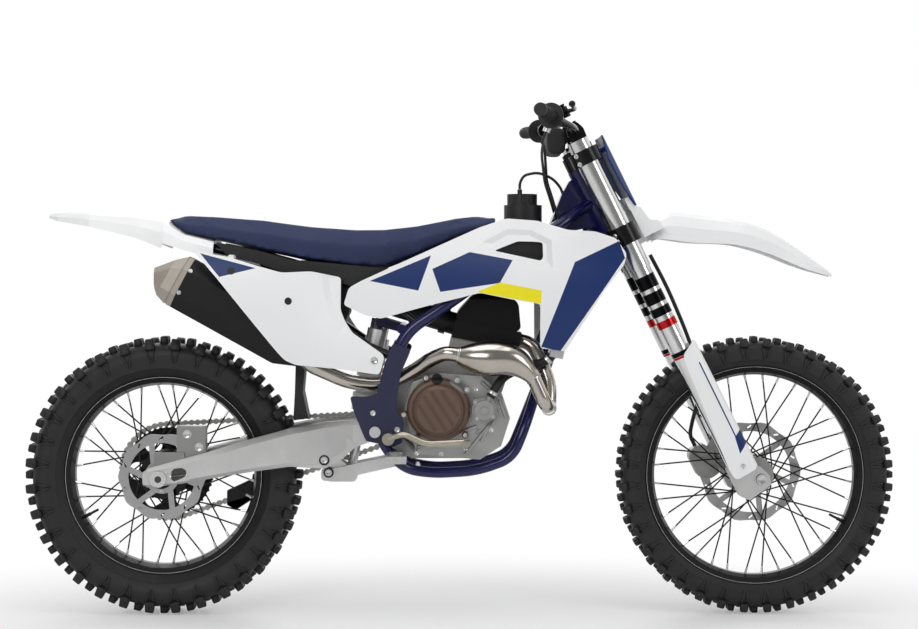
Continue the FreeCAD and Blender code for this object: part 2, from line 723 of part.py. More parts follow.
def bar_mounts(doc, s):
    """Posts and caps that hold the bar on the upper clamp."""
    low = s.upper_clamp_z + s.upper_clamp_height / 2
    high = s.bar_z + s.bar_radius + 8
    outline = [(s.bar_x - 19, low), (s.bar_x + 20, low), (s.bar_x + 24, s.bar_z), (s.bar_x + 14, high),
               (s.bar_x - 12, high), (s.bar_x - 20, s.bar_z)]
    post = rounded_plate(outline, 38, 66, 6)
    bolts = [Part.makeCylinder(5, 6, Vector(s.bar_x + side * 10, 52, high - 3)) for side in (-1, 1)]
    post = joined(post, *bolts).cut(cross_bar(s.bar_x, s.bar_z, s.bar_radius, 30, 70))
    return place_on_fork(feature(doc, "bar_mounts", both_sides(post)))


def bar_pad(doc, s):
    """Soft pad behind the bar's clamps."""
    pad = rounded_plate([(-119, 958), (-77, 936), (-49, 997), (-90, 1018)], -84, 84, 14)
    tab = block(Vector(-76, 42, 962), Vector(s.bar_x - 20 - s.seat_gap, 62, 974))
    return place_on_fork(feature(doc, "bar_pad", joined(pad, tab, mirrored(tab))))


def control_start(s, distance):
    """Point on the left-hand bar, at a distance inwards from the grip's flange, and the way inwards."""
    tip, flange = bar_ends(s)
    along = (flange - tip).normalize()
    return flange + along * distance, along


def grips(doc, s):
    tip, flange = bar_ends(s)
    along = (flange - tip).normalize()
    grip = joined(rod(tip - along * 6, flange, s.grip_radius), rod(flange, flange + along * 5, s.grip_radius * 2))
    hole = rod(tip, flange + along * 10, s.bar_tip_radius)
    return place_on_fork(feature(doc, "grips", both_sides(grip.cut(hole))))


def throttle_housing(doc, s):
    """Housing of the twist grip on the right, with the boss its cables leave by."""
    start, along = control_start(s, s.throttle_inset)
    boss_start = start + along * 13
    shape = joined(rod(start, start + along * 26, 24), rod(boss_start, boss_start + Vector(-30, 0, -27), 9))
    shape = shape.cut(bar_half(s, s.bar_tip_radius))
    return place_on_fork(feature(doc, "throttle_housing", mirrored(shape)))


def hand_levers(doc, s):
    """Brake and clutch levers, each with its clamp, cylinder, reservoir lid and blade."""
    start, along = control_start(s, s.lever_inset)
    ring = rod(start, start + along * 14, 18)
    master = block(start + Vector(8, -44, -8), start + Vector(34, 8, 16))
    lid = block(start + Vector(6, -46, 16), start + Vector(36, -2, 20))
    pivot = Part.makeCylinder(9, 26, start + Vector(30, 4, -14))
    blade = tube([start + Vector(30, 4, 0), start + Vector(50, 40, -6), start + Vector(36, 180, 2)], 5.5, 0.35)
    end = Part.makeSphere(8, start + Vector(36, 180, 2))
    shape = joined(ring, master, lid, pivot, blade, end).cut(bar_half(s, s.bar_tip_radius))
    return place_on_fork(feature(doc, "hand_levers", both_sides(shape)))


def front_caliper(doc, s):
    """Caliper behind the left fork leg, open round the disc, with its two piston caps."""
    low, high = s.front_disc_y - 16, s.front_disc_y + 30
    body = rounded_plate([(-70, 34), (-100, 30), (-126, 50), (-126, 104), (-112, 120), (-78, 120), (-66, 100)],
                         low, high, 8)
    slot = cross_bar(0, 0, s.front_disc_radius + 4, s.front_disc_y - 4, s.front_disc_y + 4)
    arm = block(Vector(-76, s.front_disc_y + 10, 45), Vector(leg_x(s) - 27, s.fork_half_track, 90))
    caps = [cross_bar(-100, z, 13, high, high + 4) for z in (58, 94)]
    return place_on_fork(feature(doc, "front_caliper", joined(body.cut(slot), arm, *caps)))


def front_brake_hose(doc, s):
    points = [Vector(-96, 72, 120), Vector(-96, 72, 150), Vector(-66, 68, 190), Vector(-6, 66, 250), Vector(12, 66, 384),
              Vector(19, 66, 520), Vector(16, 66, 612)]
    return place_on_fork(feature(doc, "front_brake_hose", tube(points, 5)))


# Swingarm and rear end
def rear_axle(doc, s):
    reach = s.arm_inner_y + s.arm_width
    spacer = cross_bar(0, 0, s.rear_axle_radius + 8, s.rear_hub_half_width + s.running_gap, s.arm_inner_y)
    nut = cross_bar(0, 0, 20, reach, reach + 12)
    shape = joined(cross_bar(0, 0, s.rear_axle_radius, -reach - 12, reach + 12), spacer, mirrored(spacer),
                   nut, mirrored(nut))
    return place(feature(doc, "rear_axle", shape), "0", "0", "Sheet.axle_height")


def swingarm(doc, s):
    """Two cast arms that spread to the axle, joined ahead of the wheel, with their pivot bolt."""
    rear_inner, rear_outer = s.arm_inner_y, s.arm_inner_y + s.arm_width
    front_inner, front_outer = s.arm_front_inner_y, s.arm_front_inner_y + s.arm_front_width
    stations = [(-40, 334, 366, rear_inner, rear_outer, 4), (-28, 328, 375, rear_inner, rear_outer, 6),
                (58, 338, 398, rear_inner, rear_outer, 8), (145, 353, 422, rear_inner, rear_outer, 9),
                (231, 367, 449, rear_inner, rear_outer, 10), (318, 379, 472, rear_inner, rear_outer, 10),
                (413, 385, 490, rear_inner - 6, rear_outer - 8, 10), (480, 424, 494, front_inner, front_outer, 8),
                (552, 450, 488, front_inner, front_outer, 6)]
    arm = loft([swingarm_section(*station) for station in stations], True)
    lower = rounded_plate([(318, 380), (366, 376), (413, 375), (446, 391), (490, 430), (470, 450), (330, 410)],
                          front_inner + 3, front_outer + 2, 8)
    recess = rounded_plate([(-26, 337), (76, 341), (76, 377), (-26, 371)], rear_outer - 3, rear_outer + 5, 10)
    adjuster = rounded_plate([(-18, 341), (30, 341), (30, 366), (-18, 366)], rear_outer - 4, rear_outer, 6)
    screw = Part.makeCylinder(4, 44, Vector(28, rear_outer - 3, 355), Vector(1, 0, 0.1))
    arm = joined(arm, lower).cut(recess)
    arm = joined(arm, adjuster, screw).cut(cross_bar(0, s.axle_height, s.rear_axle_radius, 50, 150))
    bridge = plate([(358, 455), (392, 470), (402, 440), (403.7, 378), (380, 380), (364, 392)],
                   -rear_inner, rear_inner)
    pivot = cross_bar(s.pivot_x, s.pivot_z, s.pivot_radius, -front_inner, front_inner)
    reach = s.spar_y + s.spar_radius + 12
    bolt = cross_bar(s.pivot_x, s.pivot_z, s.pivot_bolt_radius, -reach, reach)
    head = cross_bar(s.pivot_x, s.pivot_z, 14, reach - 12, reach)
    shape = joined(arm, mirrored(arm), bridge, pivot, bolt, head, mirrored(head))
    return place(feature(doc, "swingarm", shape))


def head_gusset(s):
    """Tapered box between the head tube and the spars."""
    low, high = head_tube_ends(s)
    front_low, front_high = low + (high - low) * 0.1, low + (high - low) * 0.9
    sections = [
        [Vector(front_low.x, -20, front_low.z), Vector(front_low.x, 20, front_low.z),
         Vector(front_high.x, 20, front_high.z), Vector(front_high.x, -20, front_high.z)],
        [Vector(1008, -34, 962), Vector(1008, 34, 962), Vector(1024, 26, 1092), Vector(1024, -26, 1092)],
        [Vector(972, -48, 975), Vector(972, 48, 975), Vector(1004, 30, 1056), Vector(1004, -30, 1056)],
    ]
    return loft(sections, True)


def head_tube_ends(s):
    """Lower and upper ends of the head tube, on the steering axis."""
    low = from_fork(s, stem_x(s), 0, s.lower_clamp_z + s.lower_clamp_height / 2 + s.running_gap)
    high = from_fork(s, stem_x(s), 0, s.upper_clamp_z - s.upper_clamp_height / 2 - s.running_gap)
    return low, high


def spar(s, radius):
    """Left side spar, from the head tube down to the swingarm pivot, at a given radius."""
    low, high = head_tube_ends(s)
    neck = low + (high - low).normalize() * 84
    y = s.spar_y
    return tube([neck + Vector(0, 8, 0), Vector(neck.x - 110, 70, neck.z - 75), Vector(700, y, 772),
                 Vector(612, y, 715), Vector(575, y, 620), Vector(s.pivot_x + 8, y, s.pivot_z)], radius)


def frame_shape(s):
    low, high = head_tube_ends(s)
    along = (high - low).normalize()
    head = rod(low, high, s.stem_radius + s.head_wall)
    y = s.spar_y
    foot = cross_bar(s.pivot_x + 8, s.pivot_z, s.spar_radius + 12, y - s.spar_radius, y + s.spar_radius)
    side = spar(s, s.spar_radius)
    top = shock_axis()[0]
    bridge = cross_bar(top.x + 54, top.z - 20, 12, -y, y)
    ear = plate([(top.x - 12, top.z - 14), (top.x - 12, top.z + 12), (top.x + 54, top.z - 8),
                 (top.x + 54, top.z - 32)], 26 + s.seat_gap, 36)
    shape = welded(head, head_gusset(s), side, mirrored(side), foot, mirrored(foot), bridge, ear, mirrored(ear))
    bore = rod(low - along * 5, high + along * 5, s.stem_radius + s.running_gap)
    return shape.cut([bore, cross_bar(s.pivot_x, s.pivot_z, s.pivot_bolt_radius, -200, 200)])


def frame_guards(doc, s):
    """Textured guards outside the foot of each spar, clipped round it."""
    outline = [(581, 688), (626, 672), (618, 652), (601, 614), (594, 570), (589, 520), (609, 493), (604, 441),
               (581, 431), (515, 446), (505, 468), (483, 523), (475, 557), (510, 555), (540, 560), (562, 640)]
    face_y = s.spar_y + s.spar_radius + s.seat_gap
    sheet = rounded_plate(outline, face_y, face_y + 4, 8)
    low_edge = plate([(505, 468), (515, 446), (581, 431), (604, 441), (600, 449), (580, 440), (520, 454)],
                     face_y - 8, face_y + 1)
    foot_radius = s.spar_radius + 12 + s.seat_gap
    foot = cross_bar(s.pivot_x + 8, s.pivot_z, foot_radius, 90, face_y)
    low_edge = low_edge.cut([foot, cradle_rail(s), spar(s, s.spar_radius + s.seat_gap)])
    low_edge = max(low_edge.Solids, key=lambda solid: solid.Volume)
    guard = joined(sheet, low_edge)
    guard = guard.cut(cross_bar(s.pivot_x, s.pivot_z, 16, 90, 160)).cut(cross_bar(570, 452, 16, 90, 160))
    return place(feature(doc, "frame_guards", both_sides(guard)))


def link_bar(s, radius):
    """Cross member of the lower frame that the linkage's rods pivot on."""
    return cross_bar(596, 390, radius, -s.cradle_y - 19, s.cradle_y + 19)


def frame(doc, s):
    """Head tube and the two side spars down to the swingarm pivot."""
    return place(feature(doc, "frame", frame_shape(s)))


def cradle_rail(s):
    """Left lower rail, from the foot of the down tube to the swingarm pivot."""
    y = s.cradle_y
    return tube([Vector(968, 0, 640), Vector(940, 30, 560), Vector(908, y, 470), Vector(878, y, 398),
                 Vector(790, y, 366), Vector(681, y, 360), Vector(610, y + 14, 372),
                 Vector(564, y + 38, 424), Vector(s.pivot_x + 8, s.spar_y, s.pivot_z)], s.cradle_radius)


def cradle_inside(s):
    """Space between the lower rails at the footpegs."""
    return block(Vector(540, 0, 360), Vector(640, s.cradle_y + 30, 440))


def down_tube(s, radius):
    """Single tube from the head tube down to the lower rails."""
    low, high = head_tube_ends(s)
    start = low + (high - low).normalize() * 62
    return tube([start, Vector(985, 0, 690), Vector(962, 0, 620)], radius, 0.3)


def frame_cradle(doc, s):
    """Down tube and the two lower rails round the engine."""
    low, high = head_tube_ends(s)
    head = rod(low, high, s.stem_radius + s.head_wall)
    down = down_tube(s, 18)
    rail = cradle_rail(s)
    cross = cross_bar(640, 364, s.cradle_radius - 2, -s.cradle_y, s.cradle_y)
    bolt = cross_bar(s.pivot_x, s.pivot_z, s.pivot_bolt_radius, -200, 200)
    shape = welded(down, rail, mirrored(rail), cross, link_bar(s, 9))
    return place(feature(doc, "frame_cradle", shape.cut([frame_shape(s), head, bolt])))


def subframe_side(s, radius):
    """Left rail and strut of the subframe, at a given radius."""
    rail = tube([Vector(640, s.spar_y, 738), Vector(560, 96, 800), Vector(400, 84, 862), Vector(90, 62, 930)], radius)
    strut = tube([Vector(590, s.spar_y, 650), Vector(520, 102, 676), Vector(330, 84, 808), Vector(250, 76, 894)],
                 radius)
    return welded(rail, strut)


def subframe(doc, s):
    """Rear rails under the seat, with their lower struts."""
    side = subframe_side(s, s.subframe_radius)
    cross = cross_bar(100, 927.7, s.subframe_radius, -62, 62)
    shape = welded(side, mirrored(side), cross)
    frame_side = spar(s, s.spar_radius)
    return place(feature(doc, "subframe", shape.cut([frame_side, mirrored(frame_side)])))


def shock_axis():
    """Upper and lower eyes of the shock, and its direction downwards."""
    top = Vector(548, 0, 742)
    bottom = Vector(470, 0, 352)
    return top, bottom, (bottom - top).normalize()


def shock(doc, s):
    """Rear damper with its reservoir, between the frame and the linkage."""
    top, bottom, along = shock_axis()
    eyes = [cross_bar(top.x, top.z, 12, -26, 26), cross_bar(bottom.x, bottom.z, 12, -22, 22)]
    reservoir_top = Vector(top.x - 6, -66, top.z - 22)
    reservoir = rod(reservoir_top, reservoir_top + along * 102, 25)
    neck = rod(top + along * 20, reservoir_top + along * 20, 12)
    collar = rod(top + along * 46, top + along * 66, 31)
    foot = rod(top + along * 222, top + along * 236, 31)
    shape = joined(rod(top, top + along * 160, 24), rod(top + along * 150, bottom, 12), *eyes, neck, reservoir,
                   collar, foot)
    shape = shape.cut(cross_bar(bottom.x, bottom.z, 6 + s.seat_gap, -30, 30))
    return place(feature(doc, "shock", shape))


def cover_grooves(x, z, y):
    """Slanted grooves across the clutch cover's face."""
    grooves = []
    for offset in (-33, -11, 11, 33):
        reach = math.sqrt(50 ** 2 - offset ** 2)
        groove = block(Vector(-reach, y - 1, offset - 4), Vector(reach, y + 3, offset + 4))
        groove.rotate(Vector(0, 0, 0), Vector(0, 1, 0), 57)
        groove.translate(Vector(x, 0, z))
        grooves.append(groove)
    return grooves


def pump_outlet():
    return rod(Vector(811, -122, 534), Vector(838, -122, 582), 8)


def shock_spring(doc, s):
    """Rear spring, as a sleeve round the damper with a ring for each coil."""
    top, bottom, along = shock_axis()
    rings = [rod(top + along * (66 + 18 * turn), top + along * (66 + 18 * turn + 11), 34) for turn in range(9)]
    sleeve = rod(top + along * 66, top + along * 222, 28)
    spring = joined(sleeve, *rings).cut(rod(top, bottom, 24))
    return place(feature(doc, "shock_spring", spring))


def shock_linkage(doc, s):
    """Rocker under the shock and the two rods that tie it to the frame."""
    bottom = shock_axis()[1]
    half = 34
    rocker = rounded_plate([(404.2, 402), (404.2, 372), (398, 362), (398, 344), (418, 334), (484, 334),
                            (492, 352), (474, 368), (424, 404)], -half, half, 8)
    rocker = rocker.cut(block(Vector(440, -22 - s.seat_gap, 320), Vector(500, 22 + s.seat_gap, 420)))
    rocker = joined(rocker, cross_bar(bottom.x, bottom.z, 6, -half, half),
                    cross_bar(412, 350, 13, -half - 10, half + 10))
    rods = rounded_plate([(398, 362), (398, 338), (420, 336), (598, 376), (610, 388), (600, 404), (584, 400)],
                         half + s.seat_gap, half + 8, 9)
    rods = rods.cut([cross_bar(412, 350, 13 + s.seat_gap, -60, 60), link_bar(s, 9 + s.seat_gap)])
    return place(feature(doc, "shock_linkage", Part.makeCompound([rocker, rods, mirrored(rods)])))


def cylinder_shape():
    return plate([(735, 640), (800, 604), (852, 560), (866, 600), (893, 668), (726, 700), (712, 640)], -62, 62)


def mud_flap(doc, s):
    flap = plate([(337, 729), (366, 720.7), (352, 560), (366, 494), (328, 489), (332, 560)], -42, 42)
    return place(feature(doc, "mud_flap", flap))


def rear_caliper(doc, s):
    """Caliper over the rear disc, carried by the swingarm."""
    y = s.rear_disc_y
    shape = block(Vector(40, y - 22, 392), Vector(112, y + 16, 478))
    slot = cross_bar(0, s.axle_height, s.rear_disc_radius + 4, y - 4, y + 4)
    arm = block(Vector(-16, -s.arm_inner_y, 380), Vector(60, y - 10, 412))
    return place(feature(doc, "rear_caliper", joined(shape.cut(slot), arm)))


# Engine
def engine_cases(doc, s):
    """Crankcases: a narrow core back to the swingarm, wider round the crank."""
    rear = s.pivot_x + s.pivot_radius + 8
    core = plate([(rear, 430), (625, 396), (797, 396), (850, 430), (872, 499), (852, 560), (800, 604), (735, 640),
                  (650, 640), (600, 600), (rear, 540)], -60, s.chain_y - 14)
    flank = [(640, 410), (797, 396), (850, 430), (872, 499), (852, 560), (800, 604), (690, 612)]
    right = plate(flank + [(630, 590), (608, 520)], -95, -60)
    left = plate(flank + [(652, 520)], s.chain_y - 14, 96)
    return place(feature(doc, "engine_cases", joined(core, right, left)))


def turned_solid(points, x, z):
    """Solid turned about a cross axis at (x, z), from (radius, y) corners."""
    corners = [Vector(x + radius, y, z) for radius, y in points]
    face = Part.Face(Part.makePolygon(corners + corners[:1]))
    return face.revolve(Vector(x, 0, z), Vector(0, 1, 0), 360)


def engine_covers(doc, s):
    """Clutch cover with its grooves, oil filler, water pump and ignition cover."""
    clutch = turned_solid([(0, -95), (79, -95), (79, -118), (73, -126), (66, -128), (61, -148), (54, -156),
                           (0, -156)], 694, 522).cut(cover_grooves(694, 522, -156))
    bosses = [cross_bar(x, z, 8, -126, -95) for x, z in
              ((663, 601), (740, 596), (765, 572), (787, 542), (760, 459), (608, 510), (640, 452))]
    filler = cross_bar(690, 598, 13, -114, -95)
    clutch = joined(clutch, *bosses, filler)
    pump = joined(cross_bar(807, 522, 24, -140, -95), cross_bar(807, 522, 31, -124, -95),
                  cross_bar(807, 522, 9, -148, -95), pump_outlet())
    ignition = turned_solid([(0, 96), (72, 96), (72, 112), (60, 124), (0, 126)], 770, 500)
    return place(feature(doc, "engine_covers", Part.makeCompound([clutch, pump, ignition])))


def cylinder(doc, s):
    return place(feature(doc, "cylinder", cylinder_shape()))


def head_shape(s):
    lower = plate([(726, 700), (893, 668), (904, 705), (901, 712), (736, 744)], -68, 68)
    cover = rounded_plate([(736, 744), (901, 712), (894, 790), (850, 809), (783, 809), (742, 765)], -64, 64, 16)
    side = rounded_plate([(-64, 640), (64, 640), (64, 812), (-64, 812)], -1000, -600, 20)
    side.rotate(Vector(0, 0, 0), Vector(0, 0, 1), 90)
    return joined(lower, cover.common(side))


def cylinder_head(doc, s):
    """Head and its black cam cover."""
    return place(feature(doc, "cylinder_head", head_shape(s)))


def silencer_axis():
    """Front and rear ends of the silencer's body, and its direction towards the front."""
    front = Vector(314.6, -116, 695.6)
    rear = Vector(51.6, -116, 841.6)
    return front, rear, (front - rear).normalize()


def eight_sided(centre, along, half_width, half_height):
    """Section with bevelled corners round a point, square to a direction without a sideways part."""
    up = Vector(-along.z, 0, along.x).normalize()
    across = Vector(0, 1, 0)
    corner = 0.52
    return [centre + across * (half_width * side) + up * (half_height * high)
            for side, high in ((-1, -corner), (-corner, -1), (corner, -1), (1, -corner), (1, corner), (corner, 1),
                               (-corner, 1), (-1, corner))]


def exhaust_header(doc, s):
    """Pipe from the head's front port, looped down, through its resonance chamber and back inside the spar."""
    pipe = tube([Vector(880, -24, 694), Vector(930, -34, 682), Vector(950, -60, 640), Vector(972, -84, 580),
                 Vector(968, -108, 526), Vector(956, -136, 540), Vector(929, -138, 600),
                 Vector(924, -138, 606)], 18)
    stages = [((929, 600), 19), ((910, 623), 27), ((860, 648), 41), ((818, 650), 44), ((772, 653), 34),
              ((740, 658), 19)]
    sections = []
    for index, ((x, z), radius) in enumerate(stages):
        near = stages[min(index + 1, len(stages) - 1)][0]
        far = stages[max(index - 1, 0)][0]
        along = Vector(near[0] - far[0], 0, near[1] - far[1])
        sections.append(Part.Wire(Part.makeCircle(radius, Vector(x, -138, z), along)))
    chamber = Part.makeLoft(sections, True)
    tail = tube([Vector(750, -138, 657), Vector(714, -136, 664), Vector(676, -112, 648), Vector(640, -88, 622),
                 Vector(600, -80, 600), Vector(546, -80, 580), Vector(470, -88, 588), Vector(380, -116, 630),
                 Vector(362, -116, 648)], 18)
    port = rod(Vector(872, -24, 696), Vector(890, -24, 692), 27)
    shape = joined(pipe, chamber, tail, port).cut([head_shape(s), cylinder_shape()])
    shape = max(shape.Solids, key=lambda solid: solid.Volume)
    return place(feature(doc, "exhaust_header", shape))


def silencer(doc, s):
    """Eight-sided silencer, tapered to its pipe, with a hollow outlet in its end cap."""
    front, rear, along = silencer_axis()
    pipe_end = Vector(366, -116, 644)
    outlet = Vector(-8.3, -116, 847.5)
    body = loft([eight_sided(rear, along, 42, 65.5), eight_sided(front, along, 42, 65.5)], True)
    down = (pipe_end - front).normalize()
    cone = loft([eight_sided(front, along, 42, 65.5), eight_sided(front + down * 30, along, 34, 46),
                 eight_sided(pipe_end, down, 21, 21)], True)
    ring = loft([eight_sided(rear - along * 4, along, 40, 63), eight_sided(rear, along, 40, 63)], True)
    cap = loft([eight_sided(rear - along * 4, along, 42, 65.5), eight_sided(Vector(22, -116, 850), along, 38, 50),
                eight_sided(outlet, Vector(1, 0, 0), 25, 26)], True)
    inlet = rod(pipe_end + down * 20, front + down * 30, 18)
    bore = Part.makeCylinder(20, 80, outlet - Vector(10, 0, 0), Vector(1, 0, 0))
    return place(feature(doc, "silencer", joined(body, cone, ring, cap).cut([inlet, bore])))


def radiator_core():
    return plate([(968, 655), (1000, 648), (1052, 872), (1020, 880)], 46, 138)


def radiators(doc, s):
    lug = block(Vector(985, 5, 700), Vector(1003, 46, 722)).cut(down_tube(s, 18 + s.seat_gap))
    lug = max(lug.Solids, key=lambda solid: solid.Volume)
    return place(feature(doc, "radiators", both_sides(joined(radiator_core(), lug))))


def fuel_tank(doc, s):
    """Tank under the front of the seat, grooved over the spars, with its neck."""
    stations = [(600, 60, 808, 880), (640, 74, 808, 904.7), (740, 84, 812, 949.7), (841, 88, 816, 984.7),
                (920, 92, 816, 990), (985, 84, 824, 960)]
    sections = [[Vector(x, -half, low), Vector(x, half, low), Vector(x, half, high - 40), Vector(x, half * 0.6, high),
                 Vector(x, -half * 0.6, high), Vector(x, -half, high - 40)] for x, half, low, high in stations]
    neck = Part.makeCylinder(48, 60, Vector(908, 0, 972))
    groove = spar(s, s.spar_radius + 3)
    low, high = head_tube_ends(s)
    head = rod(low, high, s.stem_radius + s.head_wall + 3)
    shape = joined(loft(sections, True), neck).cut([groove, mirrored(groove), head])
    return place(feature(doc, "fuel_tank", shape))


def filler_cap(doc, s):
    """Tank cap with a ribbed rim and its vent."""
    cap = Part.makeCylinder(38, 28, Vector(906, 0, 1032))
    notches = []
    for step in range(12):
        angle = math.radians(30 * step)
        notches.append(Part.makeCylinder(5, 30, Vector(906 + 41 * math.cos(angle), 41 * math.sin(angle), 1036)))
    cap = joined(cap.cut(notches), Part.makeCylinder(6, 12, Vector(900, 0, 1060)))
    return place(feature(doc, "filler_cap", cap))


def hoses(doc, s):
    """Tank breather hose to the frame's head, and the coolant hose from the pump to the right radiator."""
    breather = tube([Vector(900, 0, 1072.6), Vector(900, 0, 1088), Vector(910, 0, 1108), Vector(946, 0, 1116),
                     Vector(984, 0, 1100), Vector(1006, 0, 1074), Vector(1012, 0, 1046)], 3.5)
    coolant = tube([Vector(822, -122, 554), Vector(838, -122, 582), Vector(858, -100, 604), Vector(912, -84, 630),
                    Vector(955, -96, 636), Vector(984, -100, 662)], 11)
    coolant = coolant.cut([pump_outlet(), mirrored(radiator_core())])
    breather = breather.cut(head_gusset(s))
    pieces = [max(piece.Solids, key=lambda solid: solid.Volume) for piece in (breather, coolant)]
    return place(feature(doc, "hoses", Part.makeCompound(pieces)))


def seat(doc, s):
    """Long saddle, widest behind its middle."""
    stations = [(9, 1003, 996, 60), (60, 1003, 962, 84), (134, 999, 945, 100), (253, 990, 918, 112),
                (372, 974, 892, 104), (487, 966, 874, 88), (560, 967, 872, 78), (640, 976, 905, 70),
                (740, 996, 950, 62), (841, 1008, 985, 48)]
    sections = [[Vector(x, -half, low), Vector(x, half, low), Vector(x, half * 0.97, low + (high - low) * 0.55),
                 Vector(x, half * 0.6, high), Vector(x, -half * 0.6, high),
                 Vector(x, -half * 0.97, low + (high - low) * 0.55)] for x, high, low, half in stations]
    return place(feature(doc, "seat", loft(sections, True)))


def shrouds(doc, s):
    """Pair of bowed radiator shrouds, leaning out to the front, each with its window."""
    outline = [(459, 782), (472, 824), (500, 840), (607, 889), (796, 974), (862, 996), (937, 990), (1011, 967),
               (1078, 963), (1129, 946), (1155, 908), (1149, 882), (1098, 815), (1005, 668), (944, 676),
               (944, 785), (895, 792), (796, 812), (664, 779), (551, 748), (511, 757)]
    window = [(831, 916), (889, 939), (931, 938), (950, 936), (951, 899), (945, 891)]
    heights = (1010, 960, 900, 840, 760, 660)
    bowed = skin(bowed_stations([
        (440, (104, 112, 118, 124, 124, 122)), (560, (100, 116, 128, 134, 134, 132)),
        (700, (96, 116, 132, 138, 139, 134)), (850, (106, 128, 144, 150, 150, 142)),
        (1000, (146, 157, 163, 168, 164, 150)), (1180, (152, 164, 173, 179, 174, 158))], heights), 4)
    side = bowed.common(rounded_plate(outline, 80, 200, 8)).cut(rounded_plate(window, 80, 210, 6))
    tank_boss = cross_bar(720, 850, 8, 84 + s.seat_gap, 136)
    radiator_boss = cross_bar(1000, 740, 8, 138 + s.seat_gap, 161)
    return place(feature(doc, "shrouds", both_sides(joined(side, tank_boss, radiator_boss))))


def side_panels(doc, s):
    """Pair of side panels below the seat, bowed over the silencer, on bosses to the subframe."""
    outline = [(91, 916), (178, 900), (257, 876), (308, 862), (379, 865), (452, 850), (452, 769), (463, 742),
               (481, 714), (556, 661), (560, 651), (548, 610), (454, 624), (343, 635), (316, 647), (296, 669),
               (150, 848)]
    heights = (930, 860, 780, 700, 600)
    bowed = skin(bowed_stations([
        (40, (150, 166, 170, 168, 160)), (150, (147, 165, 171, 169, 161)), (250, (142, 163, 171, 170, 162)),
        (340, (132, 150, 162, 164, 158)), (430, (113, 121, 135, 149, 150)), (520, (106, 112, 124, 141, 145)),
        (610, (105, 111, 123, 140, 144))], heights), 4)
    panel = bowed.common(rounded_plate(outline, 90, 200, 8))
    bosses = [cross_bar(183, 898, 8, 62, 156), cross_bar(540, 658, 8, 100, 140)]
    side = joined(panel, *bosses).cut(subframe_side(s, s.subframe_radius + s.seat_gap))
    side = max(side.Solids, key=lambda solid: solid.Volume)
    return place(feature(doc, "side_panels", both_sides(side)))


def rear_fender(doc, s):
    """Arched rear mudguard that runs out behind the seat."""
    stations = [(-285, 1010, 46, 12), (-260, 1012, 62, 22), (-180, 1013, 80, 36), (-60, 1008, 97, 60),
                (3, 1001, 104, 78), (8.5, 995.8, 104, 62), (60, 961.7, 108, 44), (134, 944.7, 112, 46)]
    arch = loft(arched_sections(stations, 3.0, Vector(0, 0, -1)), True)
    return place(feature(doc, "rear_fender", arch))


def intake(doc, s):
    """Airbox behind the shock, its side covers and the duct to the cylinder head."""
    box = plate([(180, 870), (300, 740), (440, 700), (470, 760), (470, 855), (300, 880)], -60, 60)
    duct = rod(Vector(460, 0, 815), Vector(745, 0, 728), 28).cut(head_shape(s))
    collar = rod(Vector(700, 0, 741.7), Vector(716, 0, 736.9), 33)
    cover = rounded_plate([(138, 938), (200, 926), (255, 914), (349, 888), (461, 863), (471, 853), (444, 836),
                           (379, 861), (312, 861), (255, 881), (170, 903)], 101, 105, 6)
    bosses = [cross_bar(250, 893, 7, 70, 103), cross_bar(410, 857, 7, 80, 103)]
    panel_boss = cross_bar(183, 898, 8 + s.seat_gap, 90, 110)
    cover = joined(cover, *bosses).cut([subframe_side(s, s.subframe_radius + s.seat_gap), panel_boss])
    cover = max(cover.Solids, key=lambda solid: solid.Volume)
    shape = Part.makeCompound([joined(box, duct, collar), cover, mirrored(cover)])
    return place(feature(doc, "intake", shape))


def footpegs(doc, s):
    """Pegs with open, toothed treads, on brackets at the frame's foot."""
    tread = block(Vector(566, 150, 400), Vector(616, 240, 418))
    notches = [block(Vector(560, 154 + 10 * step, 414), Vector(620, 159 + 10 * step, 420)) for step in range(9)]
    tread = tread.cut([block(Vector(576, 160, 390), Vector(606, 230, 430)), *notches])
    bar = block(Vector(576, 192, 402), Vector(606, 198, 414))
    arm = block(Vector(572, 110, 398), Vector(604, 150, 420))
    peg = joined(tread, bar, arm).cut([cradle_rail(s), cradle_inside(s)])
    return place(feature(doc, "footpegs", both_sides(peg)))


def foot_levers(doc, s):
    """Brake pedal on the right and shift lever on the left."""
    pedal = tube([Vector(570, -150, 452), Vector(607, -160, 466), Vector(663, -166, 441), Vector(756, -168, 446)], 8, 0.3)
    pad = block(Vector(750, -186, 438), Vector(772, -150, 450))
    boss = cross_bar(570, 452, 15, -158, -s.spar_y - s.spar_radius)
    shift = tube([Vector(668, 124, 440), Vector(730, 138, 436), Vector(792, 146, 450)], 6, 0.3)
    toe = cross_bar(794, 450, 9, 140, 172)
    shaft = cross_bar(668, 440, 12, 96, 130)
    levers = [joined(pedal, pad, boss), joined(shift, toe, shaft)]
    return place(feature(doc, "foot_levers", Part.makeCompound(levers)))


def control_cables(doc, s):
    """Throttle cable and clutch hose, from the bar down behind the head tube to the frame's head."""
    start, along = control_start(s, s.throttle_inset)
    boss = start + along * 13 + Vector(-30, 0, -27)
    end = [Vector(966, 44, 1090), Vector(978, 43, 1055), Vector(992, 43, 1007), Vector(1000, 43, 985)]
    throttle = [from_fork(s, boss.x, boss.y, boss.z), from_fork(s, boss.x - 20, boss.y, boss.z - 18),
                from_fork(s, -122, 150, 975)]
    start = control_start(s, s.lever_inset)[0]
    clutch = [start + Vector(21, -44, 4), start + Vector(21, -74, 4), Vector(-112, 110, 985)]
    clutch = [from_fork(s, *point) for point in clutch]
    cables = [mirrored(tube(throttle + end, 3.5)), tube(clutch + end, 3.5)]
    cables = [max(cable.cut(frame_shape(s)).Solids, key=lambda solid: solid.Volume) for cable in cables]
    return place(feature(doc, "control_cables", Part.makeCompound(cables)))


